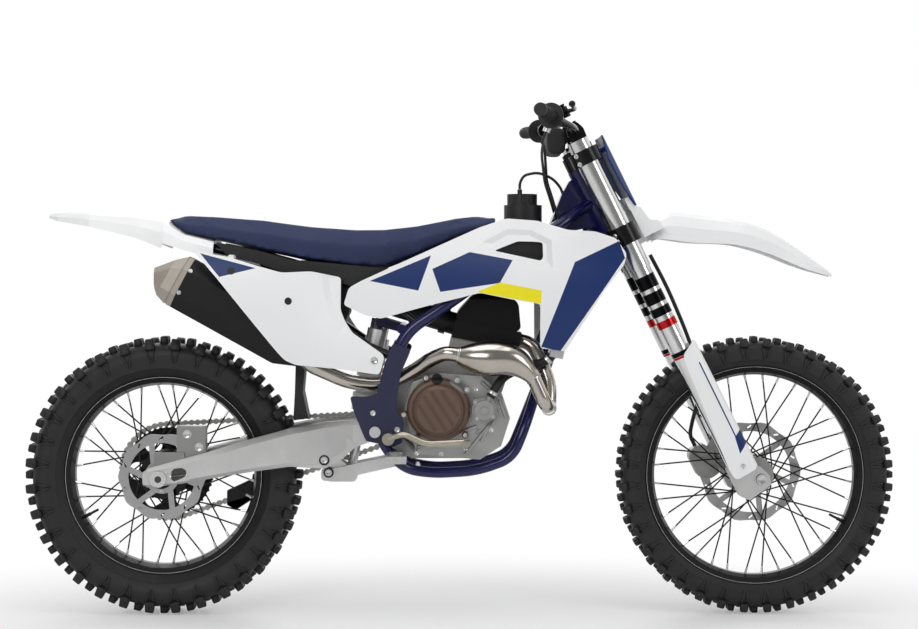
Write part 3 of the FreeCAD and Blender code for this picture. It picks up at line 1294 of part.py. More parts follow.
def build(doc):
    """Make every piece of the bike."""
    s = fill_sheet(doc)
    pieces = []
    for end in ("rear", "front"):
        pieces += [tyre(doc, s, end), rim(doc, end), hub(doc, end), spokes(doc, s, end), disc(doc, s, end)]
    for make in (rear_sprocket, drive_sprocket, chain, fork_outer_tubes, fork_inner_tubes, fork_lugs, front_axle,
                 triple_clamps, fork_guards, front_fender, number_plate, handlebar, bar_mounts, bar_pad, grips,
                 throttle_housing, hand_levers, front_caliper, front_brake_hose, rear_axle, swingarm, frame, frame_guards,
                 frame_cradle, subframe, shock, shock_spring, shock_linkage, mud_flap, rear_caliper, engine_cases,
                 engine_covers, cylinder, cylinder_head, exhaust_header, silencer, radiators, fuel_tank, filler_cap,
                 hoses, seat, shrouds, side_panels, rear_fender, intake, footpegs, foot_levers,
                 control_cables):
        pieces.append(make(doc, s))
    doc.recompute()
    return pieces


def check(doc, pieces):
    """Stop if an object failed or a piece is not a sound solid."""
    for obj in doc.Objects:
        if "Invalid" in obj.State or "Error" in obj.State:
            raise RuntimeError(f"{obj.Label} failed: {obj.State}")
    unsound = [piece.Label for piece in pieces
               if piece.Shape.isNull() or not piece.Shape.isValid() or piece.Shape.Volume <= 0]
    if unsound:
        raise RuntimeError(f"not sound solids: {', '.join(unsound)}")


def main():
    doc = FreeCAD.newDocument("motocross_bike")
    pieces = build(doc)
    check(doc, pieces)
    os.makedirs("parts", exist_ok=True)
    for piece in pieces:
        piece.Shape.exportStep(f"parts/{piece.Label}.step")
        print(f"{piece.Label}: {len(piece.Shape.Solids)} solids, {piece.Shape.Volume / 1000:.1f} cm3")


main()
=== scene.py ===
"""Looks of a motocross bike, dressed round its packed construction model.

Lengths are in metres unless a comment says millimetres. The bike faces +X, its left side is +Y
and up is +Z, with the origin at the rider's mount on top of the seat.
"""

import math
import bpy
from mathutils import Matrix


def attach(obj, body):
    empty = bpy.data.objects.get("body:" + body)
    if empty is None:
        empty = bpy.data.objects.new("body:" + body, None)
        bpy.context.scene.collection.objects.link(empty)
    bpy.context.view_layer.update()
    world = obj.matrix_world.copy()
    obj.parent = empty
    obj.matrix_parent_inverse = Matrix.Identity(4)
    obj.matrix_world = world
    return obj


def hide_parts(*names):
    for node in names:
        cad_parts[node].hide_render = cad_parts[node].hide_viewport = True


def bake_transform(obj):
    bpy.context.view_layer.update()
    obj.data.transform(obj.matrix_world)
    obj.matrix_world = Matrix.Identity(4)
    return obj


bl_info = {
    "name": "Motocross bike",
    "version": (1, 0, 0),
    "blender": (4, 5, 0),
    "location": "View3D > Sidebar > Bike",
    "description": "Dresses the motocross bike with tyres, seat, chain, fasteners and finishes",
    "category": "Object",
}

import bmesh
import bpy
from mathutils import Matrix, Vector
from mathutils.bvhtree import BVHTree

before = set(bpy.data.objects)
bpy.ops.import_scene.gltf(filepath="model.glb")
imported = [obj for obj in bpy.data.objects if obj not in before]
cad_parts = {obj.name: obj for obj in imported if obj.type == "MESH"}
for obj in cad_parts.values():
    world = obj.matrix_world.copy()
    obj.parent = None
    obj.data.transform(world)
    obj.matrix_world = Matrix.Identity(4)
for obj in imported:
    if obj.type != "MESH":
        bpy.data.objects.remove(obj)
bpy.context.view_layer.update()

# Places of the construction model
SEAT_MOUNT = Vector((0.490, 0.0, 0.966))
FRONT_AXLE = Vector((1.493, 0.0, 0.350)) - SEAT_MOUNT
REAR_AXLE = Vector((0.0, 0.0, 0.350)) - SEAT_MOUNT
GROUND = -SEAT_MOUNT.z
RAKE = math.radians(26.1)
FORK = Matrix.Translation(FRONT_AXLE) @ Matrix.Rotation(-RAKE, 4, "Y")
RIGHT, LEFT, BOTH = (-1,), (1,), (-1, 1)


# Helpers for places
def at(x, y, z):
    """Point of the row frame from millimetres above the ground below the rear axle."""
    return Vector((x, y, z)) / 1000 - SEAT_MOUNT


def on_fork(x, y, z):
    """Point of the row frame from millimetres of the fork's own frame."""
    return FORK @ (Vector((x, y, z)) / 1000)


def circle_of(x, z, radius, count, turn):
    """Evenly spaced (x, z) places round a centre."""
    angles = [turn + math.tau * step / count for step in range(count)]
    return [(x + radius * math.cos(angle), z + radius * math.sin(angle)) for angle in angles]


def turn_towards(direction):
    """Rotation that takes +Z to a direction."""
    return Vector(direction).to_track_quat("Z", "Y").to_matrix().to_4x4()


def placed(point, direction):
    """Placement at a point, with +Z along a direction."""
    return Matrix.Translation(point) @ turn_towards(direction)


# Settings that a user would change
def colour_setting(name, description, default):
    return bpy.props.FloatVectorProperty(name=name, description=description, subtype="COLOR", size=3,
                                         min=0.0, max=1.0, default=default)


def length_setting(name, description, default):
    return bpy.props.FloatProperty(name=name, description=description, subtype="DISTANCE", unit="LENGTH",
                                   min=0.0, default=default)


class BikeColours(bpy.types.PropertyGroup):
    """Colours of the bike's finishes."""
    rubber: colour_setting("Rubber", "Tyres and hoses", (0.012, 0.012, 0.013))
    black: colour_setting("Black", "Black mouldings and anodised parts", (0.010, 0.010, 0.011))
    white: colour_setting("White", "White mouldings", (0.88, 0.885, 0.89))
    blue: colour_setting("Blue", "Blue bands and mouldings", (0.008, 0.030, 0.140))
    frame_blue: colour_setting("Frame blue", "Gloss paint of the frame", (0.006, 0.007, 0.070))
    slate: colour_setting("Slate", "Textured frame guards", (0.026, 0.028, 0.066))
    seat: colour_setting("Seat", "Seat cover", (0.024, 0.034, 0.095))
    yellow: colour_setting("Yellow", "Bright stripe on the shrouds", (0.90, 0.80, 0.010))
    bronze: colour_setting("Bronze", "Engine covers", (0.150, 0.095, 0.070))
    silver: colour_setting("Silver", "Bare aluminium", (0.74, 0.74, 0.73))
    bright: colour_setting("Bright metal", "Polished fork tubes", (0.80, 0.80, 0.79))
    steel: colour_setting("Steel", "Bare steel", (0.50, 0.49, 0.47))
    header: colour_setting("Header", "Heat-tinted exhaust pipe", (0.58, 0.54, 0.48))
    red: colour_setting("Red", "Small anodised parts", (0.55, 0.02, 0.02))


class BikeSizes(bpy.types.PropertyGroup):
    """Sizes of what is added round the construction model."""
    bolt_radius: length_setting("Bolt radius", "Head radius of a common bolt", 0.0055)


# Node groups shared by the finishes
FAR_INSIDE = 1.0


def new_group(name, inputs, outputs):
    """Empty shader group with its sockets, and its input and output nodes."""
    tree = bpy.data.node_groups.new(name, "ShaderNodeTree")
    for label, kind, default in inputs:
        socket = tree.interface.new_socket(name=label, in_out="INPUT", socket_type=kind)
        if default is not None:
            socket.default_value = default
    for label, kind in outputs:
        tree.interface.new_socket(name=label, in_out="OUTPUT", socket_type=kind)
    return tree, tree.nodes.new("NodeGroupInput"), tree.nodes.new("NodeGroupOutput")


def fill(tree, node, sockets):
    """Link or set the named or numbered inputs of a node."""
    for key, value in sockets.items():
        if isinstance(value, bpy.types.NodeSocket):
            tree.links.new(value, node.inputs[key])
        else:
            node.inputs[key].default_value = value


def add(tree, kind, sockets=None, **properties):
    """New node with its properties, and with its inputs linked or set."""
    node = tree.nodes.new(kind)
    for key, value in properties.items():
        setattr(node, key, value)
    fill(tree, node, sockets or {})
    return node


def math_node(tree, operation, first, second):
    """Result of a Math node whose inputs are sockets or numbers."""
    return add(tree, "ShaderNodeMath", {0: first, 1: second}, operation=operation).outputs[0]


def object_place(tree):
    """Shaded point in the object's own coordinates."""
    return add(tree, "ShaderNodeTexCoord").outputs["Object"]


def tone_of(tree, noise, contrast):
    """Noise brought round one, so that it can multiply a colour or a roughness."""
    centred = math_node(tree, "SUBTRACT", noise, 0.5)
    return math_node(tree, "ADD", math_node(tree, "MULTIPLY", centred, contrast), 1.0)


def grain_group():
    """Fine height and tone that break up a moulded, cast or painted surface."""
    tree, given, result = new_group(
        "Grain",
        [("Scale", "NodeSocketFloat", 400.0), ("Contrast", "NodeSocketFloat", 0.3)],
        [("Height", "NodeSocketFloat"), ("Tone", "NodeSocketFloat")])
    where = object_place(tree)
    fine = add(tree, "ShaderNodeTexNoise", {"Vector": where, "Scale": given.outputs["Scale"],
                                            "Detail": 3.0, "Roughness": 0.6})
    broad = add(tree, "ShaderNodeTexNoise", {"Vector": where, "Scale": 9.0, "Detail": 4.0,
                                             "Roughness": 0.55})
    tone = tone_of(tree, broad.outputs["Fac"], given.outputs["Contrast"])
    fill(tree, result, {"Height": fine.outputs["Fac"], "Tone": tone})
    return tree


def brushed_group():
    """Streaks along X, as on brushed or drawn metal."""
    tree, given, result = new_group(
        "Brushed",
        [("Scale", "NodeSocketFloat", 60.0), ("Stretch", "NodeSocketVector", (1.0, 20.0, 20.0))],
        [("Height", "NodeSocketFloat"), ("Tone", "NodeSocketFloat")])
    stretched = add(tree, "ShaderNodeVectorMath", {0: object_place(tree), 1: given.outputs["Stretch"]},
                    operation="MULTIPLY")
    streaks = add(tree, "ShaderNodeTexNoise", {"Vector": stretched.outputs[0],
                                               "Scale": given.outputs["Scale"], "Detail": 2.0})
    height = streaks.outputs["Fac"]
    fill(tree, result, {"Height": height, "Tone": tone_of(tree, height, 0.4)})
    return tree


def edge_group():
    """Distance inside an edge of an area of the side view, or the distance so far where that is less."""
    tree, given, result = new_group(
        "Edge",
        [("Facing", "NodeSocketVector", None), ("Offset", "NodeSocketFloat", 0.0),
         ("So Far", "NodeSocketFloat", FAR_INSIDE)],
        [("Distance", "NodeSocketFloat")])
    across = add(tree, "ShaderNodeVectorMath", {0: object_place(tree), 1: given.outputs["Facing"]},
                 operation="DOT_PRODUCT")
    inside = math_node(tree, "SUBTRACT", across.outputs["Value"], given.outputs["Offset"])
    fill(tree, result, {"Distance": math_node(tree, "MINIMUM", inside, given.outputs["So Far"])})
    return tree


def shared_group(name):
    """The named group, built the first time that it is asked for."""
    makers = {"Grain": grain_group, "Brushed": brushed_group, "Edge": edge_group}
    return bpy.data.node_groups.get(name) or makers[name]()


# Finishes
RELIEF_DEPTH = 0.0002
COAT_ROUGHNESS = 0.08
PAINT_EDGE = 0.0006
# Colour sockets of a Mix node
MIX_A, MIX_B, MIX_RESULT = 6, 7, 2


def plain_finish(name, colour, roughness, metallic=0.0, coat=0.0, group="Grain", scale=400.0,
                 contrast=0.3, bump=0.05, shine=0.5):
    """Material with a broken tone, a little relief and an uneven gloss."""
    material = bpy.data.materials.new(f"look_{name}")
    material.use_nodes = True
    tree = material.node_tree
    surface = add(tree, "ShaderNodeGroup", {"Scale": scale}, node_tree=shared_group(group))
    if "Contrast" in surface.inputs:
        fill(tree, surface, {"Contrast": contrast})
    tone = surface.outputs["Tone"]
    tint = add(tree, "ShaderNodeMix", {"Factor": 1.0, MIX_A: (*colour, 1.0), MIX_B: tone},
               data_type="RGBA", blend_type="MULTIPLY")
    relief = add(tree, "ShaderNodeBump", {"Strength": bump, "Distance": RELIEF_DEPTH,
                                          "Height": surface.outputs["Height"]})
    fill(tree, tree.nodes["Principled BSDF"], {
        "Base Color": tint.outputs[MIX_RESULT], "Metallic": metallic, "Specular IOR Level": shine,
        "Roughness": math_node(tree, "MULTIPLY", tone, roughness), "Coat Weight": coat,
        "Coat Roughness": COAT_ROUGHNESS, "Normal": relief.outputs["Normal"]})
    return material


def area_mask(tree, corners, edge_width):
    """Mask of a convex area of the side view, its corners in millimetres above the ground."""
    points = [at(x, 0, z) for x, z in corners]
    middle = sum(points, Vector()) / len(points)
    distance = FAR_INSIDE
    for first, second in zip(points, points[1:] + points[:1]):
        along = (second - first).normalized()
        facing = Vector((along.z, 0.0, -along.x))
        if facing.dot(middle - first) < 0:
            facing.negate()
        edge = {"Facing": facing, "Offset": facing.dot(first), "So Far": distance}
        distance = add(tree, "ShaderNodeGroup", edge, node_tree=shared_group("Edge")).outputs["Distance"]
    ramp = {"Value": distance, "From Min": 0.0, "From Max": edge_width}
    return add(tree, "ShaderNodeMapRange", ramp).outputs["Result"]


def with_areas(material, areas):
    """Lay coloured areas of the side view over a finish."""
    tree = material.node_tree
    shader = tree.nodes["Principled BSDF"]
    base = shader.inputs["Base Color"].links[0].from_socket
    for colour, corners in areas:
        laid = {0: area_mask(tree, corners, PAINT_EDGE), MIX_A: base, MIX_B: (*colour, 1.0)}
        base = add(tree, "ShaderNodeMix", laid, data_type="RGBA").outputs[MIX_RESULT]
    fill(tree, shader, {"Base Color": base})
    return material


def with_recess(material, corners, edge_width, depth):
    """Shade a shallow recess of the side view, with sloping edges, into a finish."""
    tree = material.node_tree
    shader = tree.nodes["Principled BSDF"]
    relief = shader.inputs["Normal"].links[0].from_socket
    shading = {"Strength": 1.0, "Distance": depth, "Height": area_mask(tree, corners, edge_width),
               "Normal": relief}
    fill(tree, shader, {"Normal": add(tree, "ShaderNodeBump", shading, invert=True).outputs["Normal"]})
    return material


def fork_area(low, high, rear=-75.0, front=0.0):
    """Corners of a band across the fork, from one height of the fork's own frame to another."""
    corners = [(rear, low), (front, low), (front, high), (rear, high)]
    points = [on_fork(x, 0, z) + SEAT_MOUNT for x, z in corners]
    return [(point.x * 1000, point.z * 1000) for point in points]


# Areas of the side view, their corners in millimetres above the ground
SHROUD_RECESS = ((800, 936), (865, 970), (922, 967), (972, 942), (975, 873), (845, 898))
SHROUD_BANDS = (("blue", ((523, 841), (676, 905), (644, 817))),
                ("blue", ((678, 871), (771, 913), (877, 893), (845, 836), (698, 814))),
                ("blue", ((1028, 888), (1136, 940), (1151, 898), (993, 667), (946, 679))),
                ("yellow", ((786, 814), (845, 838), (948, 818), (946, 785))))
PANEL_RECESS = ((404, 865), (470, 870), (484, 795), (482, 721), (448, 705), (414, 795))
PANEL_BANDS = (("blue", ((107, 910), (246, 873), (156, 851))),)
GUARD_BANDS = (("blue", fork_area(100, 330, -14, -10)),
               ("blue", ((1425, 456), (1442, 481), (1457, 446), (1438, 414))))
FORK_BANDS = (("black", fork_area(545, 580)), ("black", fork_area(505, 535)),
              ("black", fork_area(472, 495)), ("red", fork_area(440, 460)),
              ("red", fork_area(340, 362)), ("black", fork_area(362, 374)))
COVER_CASTING = ((740, 618), (720, 590), (756, 562), (790, 560), (800, 600))
# Area round the chain adjuster on the swingarm, painted dark as shade
ADJUSTER_PAINTED_SHADE = ((31, 368), (38, 376), (58, 378), (68, 371), (69, 360), (60, 352), (38, 343), (31, 348))
SILENCER_TIP = ((-60, 760), (-60, 960), (128, 960), (22, 760))
# Tones of bare metal, and a dark tone painted as the shade in hollows
STEEL_TINT = (0.42, 0.38, 0.33)
DISC_STEEL = (0.48, 0.48, 0.48)
CAST_GREY = (0.36, 0.36, 0.35)
PAINTED_HOLLOW_SHADE = (0.10, 0.10, 0.10)


def panel_finishes(colours):
    """Finishes of the white panels and of the fork tubes, with their bands, by node."""
    def banded(material, bands):
        return with_areas(material, [(getattr(colours, tone), corners) for tone, corners in bands])

    white = {"colour": colours.white, "roughness": 0.34, "scale": 1200, "contrast": 0.04, "bump": 0.03,
             "shine": 0.35}
    shroud = with_recess(plain_finish("shroud_white", **white), SHROUD_RECESS, 0.014, 0.006)
    panel = with_recess(plain_finish("panel_white", **white), PANEL_RECESS, 0.016, 0.006)
    tube = plain_finish("tube_silver", colours.bright, 0.2, 1.0, group="Brushed", scale=60)
    return {
        "shrouds": banded(shroud, SHROUD_BANDS),
        "side_panels": banded(panel, PANEL_BANDS),
        "fork_guards": banded(plain_finish("guard_white", **white), GUARD_BANDS),
        "fork_outer_tubes": banded(tube, FORK_BANDS),
    }


def metal_finishes(colours):
    """Finishes of the metal nodes that differ from the rest of their slot, by node."""
    cast = {"metallic": 1.0, "scale": 900}
    rough_cast = {"roughness": 0.5, "metallic": 1.0, "scale": 1100, "contrast": 0.6, "bump": 0.6}
    brushed = {"metallic": 1.0, "group": "Brushed"}
    cover = plain_finish("engine_cover_paint", colours.bronze, 0.5, 0.35, scale=1400, bump=0.35)
    cap = plain_finish("silencer_black_cap", colours.black, 0.42, 0.5, scale=900, bump=0.1)
    arm = plain_finish("swingarm_cast", colours.silver, 0.36, bump=0.15, **cast)
    lug = plain_finish("lug_cast", colours.silver, 0.36, bump=0.15, **cast)
    axle = plain_finish("axle_steel", colours.bright, 0.25, scale=90, **brushed)
    return {
        "engine_covers": with_areas(cover, [(CAST_GREY, circle_of(810, 522, 40, 12, 0)),
                                            (colours.black, circle_of(690, 600, 16, 10, 0)),
                                            (CAST_GREY, COVER_CASTING)]),
        "silencer": with_areas(cap, [(STEEL_TINT, SILENCER_TIP)]),
        # Painted shade: dark area in the adjuster's hollow on the swingarm
        "swingarm": with_areas(arm, [(PAINTED_HOLLOW_SHADE, ADJUSTER_PAINTED_SHADE)]),
        # Painted shade: dark disc round the front axle on the lugs
        "fork_lugs": with_areas(lug, [(PAINTED_HOLLOW_SHADE, circle_of(1493, 350, 15, 12, 0))]),
        # Painted shade: dark disc in the hollow end of the rear axle
        "rear_axle": with_areas(axle, [(PAINTED_HOLLOW_SHADE, circle_of(0, 350, 9, 10, 0))]),
        "rear_sprocket": plain_finish("sprocket_black", colours.black, 0.3, 0.6, scale=700),
        "rear_caliper": plain_finish("caliper_grey", CAST_GREY, 0.4, bump=0.4, **cast),
        "front_caliper": plain_finish("caliper_grey_front", CAST_GREY, 0.4, bump=0.4, **cast),
        "front_hub": plain_finish("hub_cast", (0.42, 0.42, 0.41), 0.4, bump=0.3, **cast),
        "foot_levers": plain_finish("lever_steel", (0.50, 0.46, 0.38), 0.3, 1.0, scale=700),
        "rear_disc": plain_finish("disc_steel", DISC_STEEL, 0.3, scale=50, **brushed),
        "front_disc": plain_finish("disc_steel_front", DISC_STEEL, 0.3, scale=50, **brushed),
        "engine_cases": plain_finish("case_cast", (0.46, 0.46, 0.45), **rough_cast),
        "cylinder": plain_finish("cylinder_cast", (0.40, 0.40, 0.39), **rough_cast),
    }


def slot_finishes(colours):
    """One material for each material slot of the construction model."""
    return {
        "tyre": plain_finish("tyre_rubber", colours.rubber, 0.55, scale=700, contrast=0.6, bump=0.35),
        "black_rubber": plain_finish("hose_rubber", colours.rubber, 0.6, scale=900, bump=0.3),
        "pad_foam": plain_finish("pad_cover", colours.black, 0.7, scale=1500, bump=0.4),
        "black_alloy": plain_finish("anodised_black", colours.black, 0.22, 0.5, scale=700),
        "spoke_black": plain_finish("spoke_black", colours.black, 0.35, 0.6, scale=700),
        "silver_alloy": plain_finish("cast_aluminium", colours.silver, 0.36, 1.0, scale=900, bump=0.15),
        "silver_steel": plain_finish("ground_steel", colours.silver, 0.28, 1.0, group="Brushed", scale=90),
        "chain_steel": plain_finish("chain_steel", colours.steel, 0.35, 1.0, scale=500, bump=0.2),
        "fork_silver": plain_finish("fork_silver", colours.bright, 0.2, 1.0, group="Brushed", scale=60),
        "chrome": plain_finish("chrome", (0.8, 0.8, 0.8), 0.08, 1.0, scale=300),
        "white_plastic": plain_finish("white_plastic", colours.white, 0.32, coat=0.25, scale=1200,
                                      contrast=0.04, bump=0.03),
        "blue_plastic": plain_finish("blue_plastic", colours.blue, 0.32, scale=1200, contrast=0.1,
                                     bump=0.04, shine=0.3),
        "black_plastic": plain_finish("black_plastic", colours.black, 0.5, scale=1500, bump=0.3),
        "slate_plastic": plain_finish("slate_plastic", colours.slate, 0.55, scale=900, bump=0.6, shine=0.3),
        "frame_blue": plain_finish("frame_paint", colours.frame_blue, 0.25, coat=0.5, scale=900,
                                   contrast=0.15, shine=0.3),
        "bronze_cover": plain_finish("bronze_cover", colours.bronze, 0.5, 0.45, scale=1400, bump=0.35),
        "header_steel": plain_finish("header_steel", colours.header, 0.2, 1.0, scale=500, contrast=0.5),
        "silencer_black": plain_finish("silencer_black", colours.black, 0.42, 0.5, scale=900, bump=0.1),
        "seat_cover": plain_finish("seat_cover", colours.seat, 0.6, scale=700, contrast=0.35, bump=0.7,
                                   shine=0.3),
        "spring_white": plain_finish("spring_white", (0.75, 0.75, 0.75), 0.35, scale=700),
    }


class BIKE_OT_finishes(bpy.types.Operator):
    """Give every construction node its finish"""
    bl_idname = "bike.finishes"
    bl_label = "Finishes"

    def execute(self, context):
        colours = context.scene.bike_colours
        by_slot = slot_finishes(colours)
        by_node = {**panel_finishes(colours), **metal_finishes(colours)}
        for name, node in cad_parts.items():
            slot = node.material_slots[0].material.name.split(".")[0]
            node.material_slots[0].material = by_node.get(name) or by_slot[slot]
        return {"FINISHED"}


# Making pieces
def part_mesh(bm, name="part"):
    """Mesh of a bmesh, which is freed."""
    mesh = bpy.data.meshes.new(name)
    bm.to_mesh(mesh)
    bm.free()
    return mesh


def new_object(name, data):
    """New object, linked into the scene."""
    made = bpy.data.objects.new(name, data)
    bpy.context.scene.collection.objects.link(made)
    return made


def finished_piece(name, bm, material, body, smooth=35.0):
    """Object of a bmesh, at the origin, riding on a body."""
    bmesh.ops.recalc_face_normals(bm, faces=bm.faces)
    mesh = part_mesh(bm, name)
    mesh.materials.append(bpy.data.materials[f"look_{material}"])
    mesh.shade_smooth()
    mesh.set_sharp_from_angle(angle=math.radians(smooth))
    piece = new_object(name, mesh)
    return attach(piece, body)


def repeated(bm, part, places):
    """Add a copy of a small mesh at each place, then drop the mesh."""
    for place in places:
        copy = part.copy()
        copy.transform(place)
        bm.from_mesh(copy)
        bpy.data.meshes.remove(copy)
    bpy.data.meshes.remove(part)


def bevelled(bm, width, edges=None):
    """Bevel some edges, or all of them."""
    bmesh.ops.bevel(bm, geom=list(edges or bm.edges), offset=width, offset_type="OFFSET", segments=1,
                    affect="EDGES", profile=0.5, material=-1, clamp_overlap=True)


def add_slab(bm, outline, near, far):
    """Add the convex slab of a side-view outline between two distances to the left, in millimetres."""
    corners = [bm.verts.new(at(x, y, z)) for x, z in outline for y in (near, far)]
    bmesh.ops.convex_hull(bm, input=corners)


def block_mesh(size, bevel, taper=1.0):
    """Bevelled block round the origin, its +Z end tapered."""
    bm = bmesh.new()
    bmesh.ops.create_cube(bm, size=1.0, matrix=Matrix.Diagonal((*size, 1.0)))
    top = [vert for vert in bm.verts if vert.co.z > 0]
    bmesh.ops.scale(bm, verts=top, vec=(taper, taper, 1.0))
    bevelled(bm, bevel)
    return part_mesh(bm)


def round_mesh(radius, depth, bevel, segments, top_radius=None):
    """Bevelled round or many-sided boss that stands on the origin towards +Z."""
    bm = bmesh.new()
    bmesh.ops.create_cone(bm, cap_ends=True, segments=segments, radius1=radius, radius2=top_radius or radius,
                          depth=depth, matrix=Matrix.Translation((0, 0, depth / 2)))
    rim = [edge for edge in bm.edges if all(vert.co.z > depth * 0.9 for vert in edge.verts)]
    bevelled(bm, bevel, rim)
    return part_mesh(bm)


def bolt_mesh(radius, height):
    """Hexagon bolt head with a hollow in its top and a washer below it."""
    washer_radius, washer_share = radius * 1.25, 0.3
    hollow_edge, hollow_depth = radius * 0.35, height * 0.25
    bm = bmesh.new()
    bmesh.ops.create_cone(bm, cap_ends=True, segments=18, radius1=washer_radius, radius2=washer_radius,
                          depth=height * washer_share,
                          matrix=Matrix.Translation((0, 0, height * washer_share / 2)))
    head = bmesh.ops.create_cone(bm, cap_ends=True, segments=6, radius1=radius, radius2=radius, depth=height,
                                 matrix=Matrix.Translation((0, 0, height / 2)))["verts"]
    top = [face for face in bm.faces if all(vert in head for vert in face.verts) and face.normal.z > 0.9]
    bmesh.ops.inset_region(bm, faces=top, thickness=hollow_edge, depth=-hollow_depth)
    return part_mesh(bm)


def ring_mesh(major, minor, depth, segments=32):
    """Flat ring, chamfered outside, that stands on the origin towards +Z."""
    chamfer = depth * 0.2
    section = ((minor, 0.0), (major, 0.0), (major, depth - chamfer), (major - chamfer, depth), (minor, depth))
    bm = bmesh.new()
    ring = [bm.verts.new((radius, 0.0, height)) for radius, height in section]
    edges = [bm.edges.new(pair) for pair in zip(ring, ring[1:] + ring[:1])]
    bmesh.ops.spin(bm, geom=ring + edges, cent=(0, 0, 0), axis=(0, 0, 1), angle=math.tau, steps=segments,
                   use_merge=True)
    return part_mesh(bm)


# Wheels. Each circle of bolts has a share of the common bolt's radius, a circle radius, a distance to
# the left of the wheel's middle and a height.
WHEELS = {
    "rear": {"axle": REAR_AXLE, "tip": 0.350, "half": 0.058, "height": 0.017, "rows": 32, "lug": 0.021,
             "bead": 0.238, "bead_half": 0.029, "rim": 0.227, "rim_half": 0.033, "flange": 0.060,
             "flange_y": 0.030, "valve": 208,
             "bolts": ((0.75, 0.0365, -0.060, 0.004), (1.0, 0.046, 0.071, 0.005))},
    "front": {"axle": FRONT_AXLE, "tip": 0.350, "half": 0.045, "height": 0.013, "rows": 36, "lug": 0.018,
              "bead": 0.264, "bead_half": 0.022, "rim": 0.253, "rim_half": 0.026, "flange": 0.047,
              "flange_y": 0.026, "valve": -28,
              "bolts": ((0.75, 0.0305, 0.056, 0.004),)},
}
TYRE_STEPS = 108
LUG_FOOT = 0.002
LUG_BEVEL = 0.0024
SHOULDER_LEAN = math.radians(-24)
RIB_SIZE = (0.032, 0.005, 0.0055)
RIB_SLANT = 0.22


def wheel_turn(angle):
    """Turn about a wheel's axle, from +X towards +Z."""
    return Matrix.Rotation(-angle, 4, "Y")


def tyre_profile(wheel):
    """Left half of the carcass's outline, as (radius, y) from bead to crown."""
    bead, bead_half, half = wheel["bead"], wheel["bead_half"], wheel["half"] - 0.004
    crown = wheel["tip"] - wheel["height"]
    return [(bead + 0.0005, bead_half - 0.001), (bead + 0.011, bead_half - 0.0005),
            (bead + 0.014, bead_half + 0.004), (bead + 0.030, half - 0.012),
            (bead + 0.033, half - 0.0085), (bead + 0.036, half - 0.009), (crown - 0.045, half - 0.0015),
            (crown - 0.030, half), (crown - 0.018, half - 0.002), (crown - 0.008, half * 0.8),
            (crown - 0.002, half * 0.5), (crown, half * 0.22), (crown, 0.0)]


def add_tyre_lugs(bm, wheel, centre):
    """Add a centre row of lugs split by a groove, a row on each shoulder, and ribs below the shoulders."""
    tip, half, height, length = wheel["tip"], wheel["half"], wheel["height"], wheel["lug"]
    pitch = math.tau / wheel["rows"]
    outward = Matrix.Rotation(math.pi / 2, 4, "Y")
    centre_lugs, shoulder_lugs, ribs = [], [], []
    for row in range(wheel["rows"]):
        whole = centre @ wheel_turn(row * pitch)
        half_way = centre @ wheel_turn((row + 0.5) * pitch)
        for side in BOTH:
            seat = Matrix.Translation((tip - height / 2 - LUG_FOOT, side * half * 0.225, 0))
            centre_lugs.append(whole @ seat @ outward)
            seat = Matrix.Translation((tip - height * 1.05 - LUG_FOOT, side * half * 0.80, 0))
            lean = Matrix.Rotation(side * SHOULDER_LEAN, 4, "Z")
            shoulder_lugs.append(half_way @ seat @ lean @ outward)
            for share in (-1, 1):
                foot = Matrix.Translation((tip - height - RIB_SIZE[0], side * (half - 0.0035),
                                           share * length * 0.28))
                ribs.append(half_way @ foot @ Matrix.Rotation(-share * RIB_SLANT, 4, "Y"))
    centre_size = (length, half * 0.40, height + 2 * LUG_FOOT)
    shoulder_size = (length * 1.2, half * 0.38, height * 1.7)
    repeated(bm, block_mesh(centre_size, LUG_BEVEL, 0.9), centre_lugs)
    repeated(bm, block_mesh(shoulder_size, LUG_BEVEL, 0.85), shoulder_lugs)
    repeated(bm, block_mesh(RIB_SIZE, 0.0012), ribs)


class BIKE_OT_tyres(bpy.types.Operator):
    """Knobbly tyres with square lugs, sidewall ribs and a bead line"""
    bl_idname = "bike.tyres"
    bl_label = "Tyres"

    def execute(self, context):
        for end, wheel in WHEELS.items():
            centre = Matrix.Translation(wheel["axle"])
            bm = bmesh.new()
            outline = tyre_profile(wheel)
            outline += [(radius, -y) for radius, y in reversed(outline[:-1])]
            ring = [bm.verts.new((radius, y, 0.0)) for radius, y in outline]
            edges = [bm.edges.new(pair) for pair in zip(ring, ring[1:] + ring[:1])]
            bmesh.ops.spin(bm, geom=ring + edges, cent=(0, 0, 0), axis=(0, 1, 0), angle=math.tau,
                           steps=TYRE_STEPS, use_merge=True)
            bmesh.ops.transform(bm, matrix=centre, verts=bm.verts)
            add_tyre_lugs(bm, wheel, centre)
            tyre = finished_piece(f"{end}_tyre_knobs", bm, "tyre_rubber", f"{end}_wheel", smooth=50.0)
            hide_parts(f"{end}_tyre")
        return {"FINISHED"}


SPOKE_COUNT = 36
SPOKE_TURN = math.radians(62)
BOLTS_ROUND = 6
NIPPLE = {"radius": 0.0033, "depth": 0.017, "bevel": 0.0006, "segments": 8, "top_radius": 0.0026}
# Radius and length of the valve's nut and of its stem
VALVE = ((0.0045, 0.014), (0.0032, 0.036))


